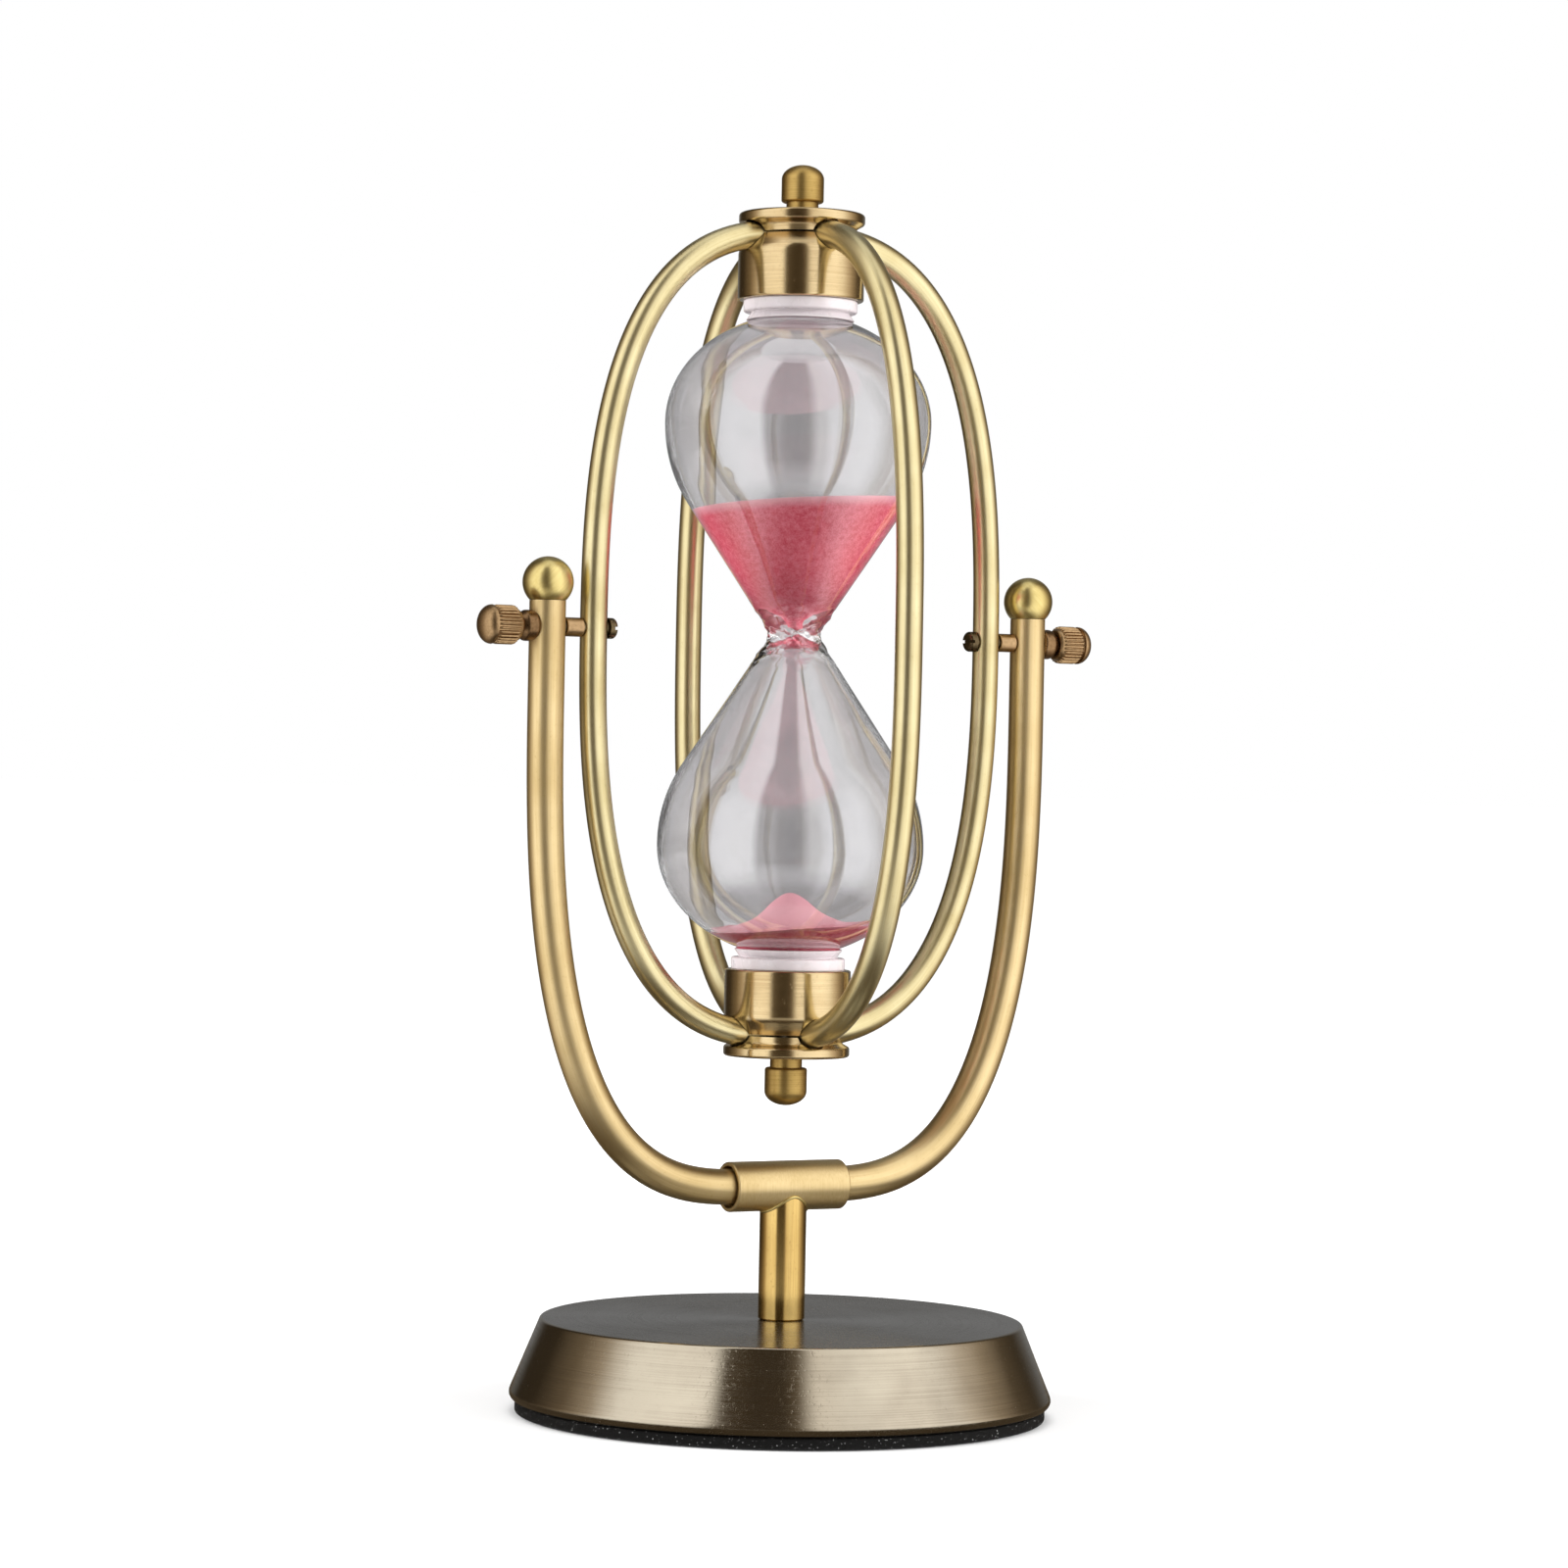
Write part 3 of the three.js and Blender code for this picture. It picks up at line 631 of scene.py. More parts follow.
def bar_tree():
    inputs = {"Radius": "Float", "Sides": "Int"} | ring_inputs
    tree, graph, given = new_tree("bar_on_path", inputs)
    path = graph.node("GeometryNodeMeshToCurve", None, {"Mesh": given["Geometry"]})["Curve"]
    length = graph.node("GeometryNodeSplineParameter")["Length"]
    path = named(graph, path, "along", "FLOAT", length)
    sockets = {"Resolution": given["Sides"], "Radius": given["Radius"]}
    circle = graph.node("GeometryNodeCurvePrimitiveCircle", None, sockets)["Curve"]
    where = graph.node("GeometryNodeInputPosition")[0]
    circle = named(graph, circle, "around", "FLOAT_VECTOR", where)
    sockets = {"Curve": path, "Profile Curve": circle, "Fill Caps": True}
    bar = graph.node("GeometryNodeCurveToMesh", None, sockets)["Mesh"]
    parts = graph.node("ShaderNodeSeparateXYZ", None, {0: recalled(graph, "around", "FLOAT_VECTOR")})
    sockets = {0: parts["X"], 1: parts["Y"], 2: recalled(graph, "along", "FLOAT")}
    bar = named(graph, bar, "lay", "FLOAT_VECTOR", graph.node("ShaderNodeCombineXYZ", None, sockets)[0])
    ring_of(graph, bar, given, "Z")
    return tree


def ridge_tree():
    tree, graph, given = new_tree("ridges_round_nut", ring_inputs)
    ring_of(graph, given["Geometry"], given, "X")
    return tree


def grown(name, points, edges, faces, tree, values):
    """An object whose mesh is what a tree makes of some points, given values for its inputs."""
    mesh = bpy.data.meshes.new(name)
    mesh.from_pydata(np.asarray(points).tolist(), edges, faces)
    piece = bpy.data.objects.new(name, mesh)
    scene.collection.objects.link(piece)
    modifier = piece.modifiers.new("grow", "NODES")
    modifier.node_group = tree
    for item in tree.interface.items_tree:
        if item.in_out == "INPUT" and item.name in values:
            modifier[item.identifier] = values[item.name]
    evaluated(piece)
    return piece


bar_on_path = bar_tree()
ridges_round_nut = ridge_tree()


def bar(name, path, radius, sides, copies, place, material, loop=False):
    """Round bars along a path, which may close on itself."""
    count = len(path)
    edges = [(i, i + 1) for i in range(count - 1)] + ([(count - 1, 0)] if loop else [])
    values = {"Radius": radius, "Sides": sides, "Copies": copies, "Place": place, "Material": material}
    return grown(name, path, edges, [], bar_on_path, values)


print("trees:", [tree.name for tree in bpy.data.node_groups])

# %% [markdown]
# The base is a spun cover over an iron weight, on a black foam pad. Its side leans in, its lower lip
# is rolled under and its top edge is just broken. One outline with a wall gives all of that, and a
# bevelled cylinder would not have the hollow inside. The faces that look up get a darker, greyer tone
# of their own, which is painted shade on the top. Everything inside keeps its imported solid.

# %% Base
cover_top = 1000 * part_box("base_cover")[1].z
cover_bottom = 1000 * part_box("base_cover")[0].z
cover_radius = 61.45
cover_top_radius = 54.0
cover_wall = 1.2
cover_sides = 224
bolt_hole = 2.65
level_face = 0.98
cover_outline = outline(
    [
        (bolt_hole, cover_top - cover_wall),
        (cover_top_radius - cover_wall, cover_top - cover_wall),
        (cover_radius - cover_wall, cover_bottom + cover_wall),
        (cover_radius - 2 * cover_wall, cover_bottom),
        (cover_radius, cover_bottom, 1.6),
        (cover_top_radius, cover_top, 0.8),
        (bolt_hole, cover_top),
    ]
)
shape = turned(cover_outline, cover_sides)
cover = turned_piece("base_cover", shape, spun_bronze, "stand", "base_metal")
# The faces that look up take the darker tone, which is painted shade.
cover.data.materials.append(spun_top_painted_shade)
for face in cover.data.polygons:
    face.material_index = int(face.normal.z > level_face)
pad_radius = 1000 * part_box("base_pad")[1].x
pad_top = 1000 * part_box("base_pad")[1].z
pad_outline = outline([(0, 0), (pad_radius, 0, 0.4), (pad_radius, pad_top, 0.5), (0, pad_top)])
turned_piece("base_pad", turned(pad_outline, sides=192), foam, "stand", "pad")


def dressed(node, material):
    """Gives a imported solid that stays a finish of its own."""
    piece = frame["nodes"][node]
    for place in piece.material_slots:
        place.material = material
    print(node, "keeps its solid in", material.name)


dressed("base_weight", iron)
for node in ("base_bolt", "base_washer", "tee_stud", "top_cap_screw", "bottom_cap_screw"):
    dressed(node, turned_steel)

# %% [markdown]
# The sleeve is a short thick tube along the pivot's direction, wider inside at its mouths, where the
# bent yoke leaves it. The post below is coped: its top follows the round of the sleeve. A Boolean cut
# could cope it, but the height of the seam is known in closed form, so the post's rings simply run up
# to it. A thin bead of solder follows the same seam, as a bar on a closed path.

# %% Post and sleeve
sleeve_axis = 51.0
sleeve_radius = 5.6
sleeve_half = 14.25
sleeve_mouth = 4.7
sleeve_bore = 4.2
sleeve_step = 9.75
sleeve_outline = outline(
    [
        (sleeve_bore, -sleeve_step),
        (sleeve_mouth, -sleeve_step),
        (sleeve_mouth, -sleeve_half, 0.15),
        (sleeve_radius, -sleeve_half, 0.35),
        (sleeve_radius, sleeve_half, 0.35),
        (sleeve_mouth, sleeve_half, 0.15),
        (sleeve_mouth, sleeve_step),
        (sleeve_bore, sleeve_step),
    ]
)
points, faces = along_x(turned(sleeve_outline))
tube = (points - (0, 0, pivot - sleeve_axis), faces)
turned_piece("tee_sleeve", tube, satin_brass, "stand", "satin_brass")

post_radius = 5.25
post_gap = 0.05
post_bottom = cover_top + post_gap
post_chamfer = 0.35
post_sides = 96
post_rings = 24
saddle_gap = 0.02
angles = np.linspace(0, 2 * math.pi, post_sides, endpoint=False)
ring = np.stack([np.cos(angles), np.sin(angles)], axis=1)


def saddle(radius, gap):
    """Height of the sleeve's underside over a circle round the post's axis."""
    return sleeve_axis - np.sqrt((sleeve_radius + gap) ** 2 - (radius * ring[:, 1]) ** 2)


def post_shape():
    rings = [np.column_stack([ring * (post_radius - post_chamfer), np.full(post_sides, post_bottom)])]
    top = saddle(post_radius, saddle_gap)
    for share in np.linspace(0, 1, post_rings):
        height = (post_bottom + post_chamfer) * (1 - share) + top * share
        rings.append(np.column_stack([ring * post_radius, height]))
    middles = [[0, 0, post_bottom], [0, 0, sleeve_axis - sleeve_radius - saddle_gap]]
    points = np.vstack(rings + [middles])
    low, high = len(points) - 2, len(points) - 1
    last = (len(rings) - 1) * post_sides
    faces = []
    for j in range(post_sides):
        k = (j + 1) % post_sides
        faces.append([low, k, j])
        faces.append([high, last + j, last + k])
        for i in range(0, last, post_sides):
            faces.append([i + j, i + k, i + post_sides + k, i + post_sides + j])
    return points, faces


turned_piece("post", post_shape(), post_brass, "stand", "satin_brass")
bead_radius = 0.32
bead_gap = 0.1
at_origin = (0, 0, 0)
seam = np.column_stack([ring * post_radius, saddle(post_radius, bead_gap)])
bead = bar("solder_bead", seam, bead_radius, 12, 1, at_origin, turned_brass, loop=True)
finished(bead, turned_brass, "stand", "satin_brass")

# %% [markdown]
# The yoke is one bar, straight through the sleeve and bent up on both sides along a superellipse,
# the rounded curve between an ellipse and a rectangle. A Bezier curve would have to be fitted by
# eye. Python works the path out from that rule, and the tree sweeps the bar along it. A ball closes
# each upright. It is an arc turned about its own axis, cut off flat where it sits on the bar.

# %% Yoke and balls
yoke_radius = 4.0
yoke_half = 61.7
yoke_squareness = 2.8
yoke_top = pivot + 5.5
yoke_in_ball = 0.1
bend_start = pivot - 14.0
bend_steps = 110
upright_steps = 12


def super_reach(angle, half_width, half_height, squareness):
    across = np.abs(np.cos(angle) / half_width) ** squareness
    up = np.abs(np.sin(angle) / half_height) ** squareness
    return (across + up) ** (-1 / squareness)


def yoke_path():
    width = yoke_half - sleeve_step
    depth = bend_start - sleeve_axis
    angle = np.linspace(-math.pi / 2, 0, bend_steps)
    reach = super_reach(angle, width, depth, yoke_squareness)
    x = sleeve_step + reach * np.cos(angle)
    z = bend_start + reach * np.sin(angle)
    upright = np.linspace(bend_start, yoke_top + yoke_in_ball, upright_steps)[1:]
    x = np.concatenate([x, np.full(len(upright), yoke_half)])
    z = np.concatenate([z, upright])
    right = np.column_stack([x, np.zeros(len(x)), z])
    return np.vstack([right[::-1] * (-1, 1, 1), right])


yoke = bar("yoke_bar", yoke_path(), yoke_radius, 48, 1, at_origin, satin_brass)
finished(yoke, satin_brass, "stand", "satin_brass", "yoke")

ball_radius = 5.6
ball_seat = math.sqrt(ball_radius**2 - yoke_radius**2)
lowest = -math.asin(ball_seat / ball_radius)
ball_arc = np.linspace(lowest, math.pi / 2, 40)
ball_outline = np.column_stack([ball_radius * np.cos(ball_arc), ball_radius * np.sin(ball_arc)])
ball_outline[-1, 0] = 0
ball_outline = np.vstack([[0, -ball_seat], ball_outline])
ball_centre = 1000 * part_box("right_ball")[0].z + ball_seat
for side, sign in (("right", 1), ("left", -1)):
    points, faces = turned(ball_outline, sides=64)
    points = points + (sign * yoke_half, 0, ball_centre)
    turned_piece(side + "_ball", (points, faces), turned_brass, "stand", "satin_brass")

# %% [markdown]
# Each pivot is a slotted screw that goes through a cage rod, a spacer, the upright and a collar, and
# a blind thumb nut holds it from outside. The collar sits on the round upright, so a copy of the
# upright, a little thicker, is cut out of it. A thin box cuts the slot of the screw.

# %% Pivot screws
screw_head = (45.3, 47.2)
screw_head_radius = 2.3
screw_radius = 1.5
screw_end = 74.4
slot_width = 0.7
slot_depth = 0.9
slot_reach = 3.0
pivot_hole = 1.65
spacer_span = (53.5, 57.62)
spacer_radius = 2.1
collar_start = 64.8
collar_shoulder = 67.4
collar_end = 68.7
collar_radius = 3.4
collar_face = 2.5
collar_gap = 0.12
upright_reach = 20.0
screw_outline = outline(
    [
        (0, screw_head[0]),
        (screw_head_radius, screw_head[0], 0.75),
        (screw_head_radius, screw_head[1], 0.1),
        (screw_radius, screw_head[1]),
        (screw_radius, screw_end),
        (0, screw_end),
    ]
)
spacer_outline = outline(
    [
        (pivot_hole, spacer_span[0]),
        (spacer_radius, spacer_span[0], 0.2),
        (spacer_radius, spacer_span[1], 0.2),
        (pivot_hole, spacer_span[1]),
    ]
)
collar_outline = outline(
    [
        (pivot_hole, collar_start),
        (collar_radius, collar_start, 0.8),
        (collar_radius, collar_shoulder, 1.2),
        (collar_face, collar_end, 0.2),
        (pivot_hole, collar_end),
    ]
)


def box_shape(low, high):
    (a, b, c), (d, e, f) = low, high
    points = [(a, b, c), (d, b, c), (d, e, c), (a, e, c), (a, b, f), (d, b, f), (d, e, f), (a, e, f)]
    faces = [[3, 2, 1, 0], [4, 5, 6, 7], [0, 1, 5, 4], [1, 2, 6, 5], [2, 3, 7, 6], [3, 0, 4, 7]]
    return np.array(points, float), faces


def screw_slot(sign):
    x = sorted([sign * (screw_head[0] - 1), sign * (screw_head[0] + slot_depth)])
    half = slot_width / 2
    low, high = (x[0], -slot_reach, pivot - half), (x[1], slot_reach, pivot + half)
    return object_of("screw_slot", box_shape(low, high))


def thicker_upright(sign):
    radius, reach = yoke_radius + collar_gap, upright_reach
    points, faces = turned([(0, -reach), (radius, -reach), (radius, reach), (0, reach)])
    return object_of("upright", (points + (sign * yoke_half, 0, pivot), faces))


for side, sign in (("right", 1), ("left", -1)):
    screw = along_x(turned(screw_outline, sides=48), sign)
    slot = [screw_slot(sign)]
    turned_piece(side + "_pivot_screw", screw, dark_bronze, "stand", "bronze", "X", slot)
    spacer = along_x(turned(spacer_outline, sides=48), sign)
    turned_piece(side + "_spacer", spacer, brown_bronze, "stand", "bronze", "X")
    collar = along_x(turned(collar_outline, sides=64), sign)
    body, seat = side + "_collar", [thicker_upright(sign)]
    turned_piece(side + "_collar", collar, collar_bronze, body, "bronze", "X", seat)

# %% [markdown]
# The thumb nut's grip is knurled, and its end is domed. A knurl is many small ridges of one shape, so
# one ridge is made, a low round bar that runs out at both ends, and the second tree sets copies of
# it round the nut. A bump would look the same from the front, but not along the nut's outline.

# %% Thumb nuts
nut_start = 68.9
nut_foot = 3.3
nut_radius = 4.3
nut_root = 3.75
nut_neck = 3.8
grip_span = (69.6, 74.9)
dome_start = 75.2
dome_end = 78.1
nut_ridges = 28
ridge_width = 0.56
ridge_sunk = 0.05
ridge_ends = [(0.0, 0.15), (0.06, 0.8), (0.14, 1.0), (0.86, 1.0), (0.94, 0.8), (1.0, 0.15)]


def domed(body, radius, start, end, steps):
    """An outline that goes on into a dome and ends on the axis."""
    angle = np.linspace(0, math.pi / 2, steps)
    dome = np.column_stack([radius * np.cos(angle), start + (end - start) * np.sin(angle)])
    dome[-1, 0] = 0
    return np.vstack([body, dome])


def ridge_shape(sign):
    across = np.linspace(0, math.pi, 7)
    rings = []
    for share, height in ridge_ends:
        x = grip_span[0] * (1 - share) + grip_span[1] * share
        y = -ridge_width / 2 * np.cos(across)
        z = nut_root - ridge_sunk + (nut_radius - nut_root + ridge_sunk) * height * np.sin(across)
        rings.append(np.column_stack([np.full(len(across), sign * x), sign * y, z]))
    count = len(across)
    last = (len(rings) - 1) * count
    faces = [list(range(count)), [last + j for j in reversed(range(count))]]
    for i in range(0, last, count):
        for j in range(count):
            k = (j + 1) % count
            faces.append([i + j, i + count + j, i + count + k, i + k])
    return np.vstack(rings), faces


nut_body = outline(
    [
        (0, nut_start),
        (nut_foot, nut_start, 0.15),
        (nut_root, grip_span[0]),
        (nut_root, grip_span[1]),
        (nut_neck, grip_span[1]),
        (nut_neck, dome_start),
    ]
)
nut_outline = domed(nut_body, nut_radius, dome_start, dome_end, steps=16)
cage_place = (0, 0, pivot / 1000)
for side, sign in (("right", 1), ("left", -1)):
    nut = along_x(turned(nut_outline, sides=72), sign)
    turned_piece(side + "_thumb_nut", nut, brown_bronze, side + "_nut", "bronze", "X")
    points, faces = ridge_shape(sign)
    values = {"Copies": nut_ridges, "Place": cage_place, "Material": brown_bronze}
    ridges = grown(side + "_nut_ridges", points, [], faces, ridges_round_nut, values)
    mark_turning(ridges, "X")
    finished(ridges, brown_bronze, side + "_nut", "bronze")

# %% [markdown]
# The cage has four rods, each half of a tall superellipse, a quarter turn apart. One path and the
# bar tree with four copies make them, so that all four stay alike. Their ends lie between the cup
# and the flange of each cap, and the height of the hoop is worked out from that seat.

# %% Cage rods
rod_radius = 3.0
hoop_half_width = 50.4
hoop_squareness = 2.67
rod_steps = 150
rod_sides = 40
cap_face = 89.2
rod_end = 7.0
cap_radius = 14.15
rod_seat = (rod_end + cap_radius) / 2
seat_share = (1 - (rod_seat / hoop_half_width) ** hoop_squareness) ** (1 / hoop_squareness)
hoop_half_height = cap_face / seat_share


def rod_path(end):
    rise = (1 - (end / hoop_half_width) ** hoop_squareness) ** (1 / hoop_squareness)
    limit = math.atan2(hoop_half_height * rise, end)
    angle = np.linspace(-limit, limit, rod_steps)
    reach = super_reach(angle, hoop_half_width, hoop_half_height, hoop_squareness)
    return np.column_stack([reach * np.cos(angle), np.zeros(len(angle)), reach * np.sin(angle)])


rods = bar("cage_rods", rod_path(rod_end), rod_radius, rod_sides, 4, cage_place, rod_brass)
finished(rods, rod_brass, "cage", "satin_brass", "right_rod", "back_rod", "left_rod", "front_rod")

# %% [markdown]
# A cap is a cup over the mouth of the glass and a flange, with the rods clamped between them. Below
# the cup shows a soft gasket, whose thin skirt runs along the lip of the glass, a stopper closes the
# mouth, and a finial nut holds each end together. Heights count from the pivot to the upper cap.

# %% Cap outlines
cap_hole = 2.15
cap_neck = 11.8
cup_bore = 12.55
cup_rim = 74.9
cup_ceiling = 84.3
cup_shoulder = cap_face - 3.4
flange_bottom = 89.65
rim_bottom = 92.2
flange_top = 94.4
flange_hollow = (cap_radius - 1.7, rim_bottom - 0.9, 1.5)
cup_outline = outline(
    [
        (cap_hole, cup_ceiling),
        (cup_bore, cup_ceiling),
        (cup_bore, cup_rim, 0.3),
        (cap_radius, cup_rim, 0.5),
        (cap_radius, cup_shoulder, 3.0),
        (cap_neck, cap_face),
        (cap_hole, cap_face),
    ]
)
flange_outline = outline(
    [
        (cap_hole, flange_bottom),
        (cap_neck, flange_bottom),
        flange_hollow,
        (cap_radius, rim_bottom, 0.7),
        (cap_radius, flange_top, 0.7),
        (cap_hole, flange_top),
    ]
)
gasket_bore = 9.15
gasket_radius = 12.8
gasket_seat = 12.4
gasket_foot = 72.2
gasket_top = 80.3
gasket_skirt = [(10.15, 72.45, 0.1), (11.85, 70.3, 0.1), (12.15, 70.5, 0.1), (10.9, gasket_foot, 0.2)]
gasket_outline = outline(
    [
        (gasket_bore, gasket_foot + 0.35, 0.15),
        *gasket_skirt,
        (gasket_radius, gasket_foot, 0.5),
        (gasket_radius, cup_rim - 0.1, 0.3),
        (gasket_seat, cup_rim + 0.1),
        (gasket_seat, gasket_top),
        (gasket_bore, gasket_top),
    ]
)
stopper_radius = 7.35
stopper_head = 9.0
stopper_bottom = 74.0
stopper_step = 80.5
stopper_top = 82.0
stopper_outline = outline(
    [
        (0, stopper_bottom),
        (stopper_radius, stopper_bottom, 0.5),
        (stopper_radius, stopper_step),
        (stopper_head, stopper_step),
        (stopper_head, stopper_top),
        (0, stopper_top),
    ]
)
finial_bottom = 94.5
finial_foot = 96.9
finial_tip = 105.4
finial_dome = 3.2
finial_neck = 3.6
finial_radius = 4.75
finial_body = outline(
    [
        (0, finial_bottom),
        (finial_neck, finial_bottom, 0.2),
        (finial_neck, finial_foot),
        (finial_radius, finial_foot, 0.6),
        (finial_radius, finial_tip - finial_dome),
    ]
)
finial_outline = domed(finial_body[:-1], finial_radius, finial_tip - finial_dome, finial_tip, steps=17)
print("the finial has", len(finial_outline), "points in its outline")

# %% [markdown]
# Thicker copies of the rods cut the channels that they lie in, which leaves the thin dark seams that
# the real caps show. A channel runs a little past the end of its rod. Both caps come from the same
# outlines, and the lower one is turned over.

# %% Caps
channel_radius = {"cup": 3.14, "flange": 3.5}
channel_slack = 0.2


def channels(part):
    path = rod_path(rod_end - channel_slack)
    return bar("channels", path, channel_radius[part], rod_sides, 4, cage_place, cap_brass)


for name, end in (("top", 1), ("bottom", -1)):
    for part, profile in (("cup", cup_outline), ("flange", flange_outline)):
        shape, cuts = in_cage(turned(profile, sides=128), end), [channels(part)]
        turned_piece(f"{name}_{part}", shape, cap_brass, "cage", "polished_brass", "Z", cuts)
    gasket = in_cage(turned(gasket_outline), end)
    turned_piece(name + "_gasket", gasket, silicone, "cage", "silicone")
    stopper = in_cage(turned(stopper_outline, sides=64), end)
    turned_piece(name + "_stopper", stopper, cork, "cage", "cork")
    finial = in_cage(turned(finial_outline, sides=72), end)
    turned_piece(name + "_finial", finial, finial_brass, "cage", "polished_brass")

# %% [markdown]
# The glass is one tube: two bulbs that meet in a throat less than two millimetres wide. The outside
# is a fillet at the waist, a cone that swells into the bulb, a shoulder, a lip and a mouth, and the
# inside follows it a wall's thickness further in. At the waist the glass is thick: above the throat a
# long funnel leads the sand down, and below it the wall thins at once. Both outlines together, turned
# once, make the closed wall. A shell with Solidify has one thickness, which would lose that lens.

# %% Glass outlines
bulb_radius = 29.9
bulb_centre = 47.6
flank_radius = 34.0
shoulder_sweep = math.radians(65)
waist = 5.9
waist_round = 3.0
bulb_wall = 1.4
cone_wall = 0.8
sand_funnel = [(0.75, 0.0), (0.75, 2.4), (2.5, 5.8)]
sand_funnel_top = 10.4
air_funnel = [(0.75, 0.0), (0.75, 0.5)]
air_funnel_top = 3.2
funnel_blend = 14
lip_start = (11.8, 70.0)
lip_end = (10.0, 72.3)
mouth_radius = 9.0
mouth_top = 80.3
mouth_flare = 0.2
mouth_bend = (0.05, 0.3)
wall_heights = [12, 42, 54, 64]
wall_depths = [cone_wall, bulb_wall, bulb_wall, cone_wall]


def arc(centre, radii, start, end, steps):
    angle = np.linspace(start, end, steps + 1)
    return np.column_stack([centre[0] + radii[0] * np.cos(angle), centre[1] + radii[1] * np.sin(angle)])


def bulb_side():
    """The outside of the upper bulb, from the waist to the lip and the mouth inside the cap."""
    flank_x = bulb_radius - flank_radius
    waist_x = waist + waist_round
    inward = flank_x - waist_x
    spread = math.hypot(inward, bulb_centre)
    slope = math.atan2(inward, bulb_centre) + math.asin((flank_radius + waist_round) / spread)
    waist_arc = arc((waist_x, 0), (waist_round, waist_round), math.pi, math.pi - slope, steps=24)
    flank_arc = arc((flank_x, bulb_centre), (flank_radius, flank_radius), -slope, 0, steps=28)
    cone = np.linspace(waist_arc[-1], flank_arc[0], 40)[1:-1]
    reach = (bulb_radius - lip_start[0]) / (1 - math.cos(shoulder_sweep))
    rise = (lip_start[1] - bulb_centre) / math.sin(shoulder_sweep)
    shoulder_centre = (bulb_radius - reach, bulb_centre)
    shoulder_arc = arc(shoulder_centre, (reach, rise), 0, shoulder_sweep, steps=32)[1:]
    lip = np.linspace(lip_start, lip_end, 9)[1:]
    mouth = [
        [mouth_radius + mouth_flare, lip_end[1] + mouth_bend[0]],
        [mouth_radius, lip_end[1] + mouth_bend[1]],
        [mouth_radius, mouth_top],
    ]
    return np.vstack([waist_arc, cone, flank_arc, shoulder_arc, lip, mouth])


def both_bulbs(upper, lower):
    """One outline for both bulbs, from the lower mouth to the upper one."""
    return np.vstack([(lower[1:] * (1, -1))[::-1], upper])


def moved_in(side, depth):
    """An outline moved inwards along its own normals."""
    ahead = np.gradient(side, axis=0)
    ahead /= np.linalg.norm(ahead, axis=1)[:, None]
    return side + np.column_stack([-ahead[:, 1], ahead[:, 0]]) * np.reshape(depth, (-1, 1))


def softened(points, rounds):
    """Cuts the corners of a line again and again, which rounds them."""
    for _ in range(rounds):
        before, after = points[:-1], points[1:]
        cuts = np.stack([before * 0.75 + after * 0.25, before * 0.25 + after * 0.75], axis=1)
        points = np.vstack([points[:1], cuts.reshape(-1, 2), points[-1:]])
    return points


outer_side = bulb_side()
shell = moved_in(outer_side, np.interp(outer_side[:, 1], wall_heights, wall_depths))


def lined(funnel, top):
    """The inside of a bulb: a funnel from the throat to a height, where it bends into the shell."""
    above = shell[shell[:, 1] > top]
    bends = np.vstack([funnel, above[:1], above[funnel_blend : funnel_blend + 1]])
    return np.vstack([softened(bends, 4), above[funnel_blend + 1 :]])


inner_side = lined(sand_funnel, sand_funnel_top)
outer = both_bulbs(outer_side, outer_side)
inner = both_bulbs(inner_side, lined(air_funnel, air_funnel_top))
wall = np.vstack([outer, inner[::-1]])
print("the glass has", len(wall), "points round its outline")

# %% [markdown]
# Blown glass is never quite even. Slow waves move each wall a little, inside and outside apart, and
# the flame that drew out the waist left finer ripples on it. They move points and aren't a bump, so
# that the glass bends what is seen through it. A wave has a share of the radius, a count round the
# glass and a turn for each millimetre of height, and a slow one has a shift for the inside too.

# %% Blown glass
glass_sides = 160
slow_waves = [(0.0018, 2, 1 / 9, 2.0), (0.0014, 3, -1 / 6, 3.4)]
waist_ripples = [(0.024, 5, 1.1), (0.02, 7, -2.1), (0.012, 11, 3.3)]
ripple_reach = 6.0


def blown(points, outer_rings):
    x, y, z = points.T
    angle = np.arctan2(y, x)
    inside = np.arange(len(points)) // glass_sides >= outer_rings
    near_waist = np.exp(-((z / ripple_reach) ** 4)) * ~inside
    factor = np.ones(len(points))
    for share, count, turn, shift in slow_waves:
        factor += share * np.sin(count * angle + turn * z + shift * inside)
    for share, count, turn in waist_ripples:
        factor += near_waist * share * np.sin(count * angle + turn * z)
    return np.column_stack([x * factor, y * factor, z])


points, faces = turned(wall, glass_sides)
piece = object_of("glass_bulbs", (blown(points, len(outer)) + (0, 0, pivot), faces))
finished(piece, glass, "cage", "clear_glass", "glass")

# %% [markdown]
# The sand fills the inside of the glass up to a surface that leans a little, and in the lower bulb it
# rises to the hill that the stream piled up. A simulation could settle it, but the settled shape
# follows simple rules: its wall is the inside of the glass, and its top is a plane with slow ripples
# and a hill. The wall reaches a hair into the glass. So no air lies between them, and the sand shows
# its full colour, as a filling that touches its glass does.

# %% Sand
upper_level, upper_floor = 29.7, 2.0
lower_level, lower_floor = -65.3, 73.8
# The level under which the lower sand's painted light fades out.
lower_light_level = -64.7
hill_height = 8.2
hill_width = 7.7
hill_sharpness = 1.9
sand_grip = 0.12
lean = math.tan(math.radians(4))
heading = math.radians(-29)
sand_ripples = [(0.1, 3, 0.35), (0.08, 2, 0.9)]
calm_middle = 6.0
sand_sides = 120
wall_steps = 120
top_steps = 40
level_rounds = 30
inside = moved_in(inner_side, -sand_grip)
inside[:, 1] = np.maximum.accumulate(inside[:, 1])


def wall_radius(height):
    return np.interp(height, inside[:, 1], inside[:, 0])


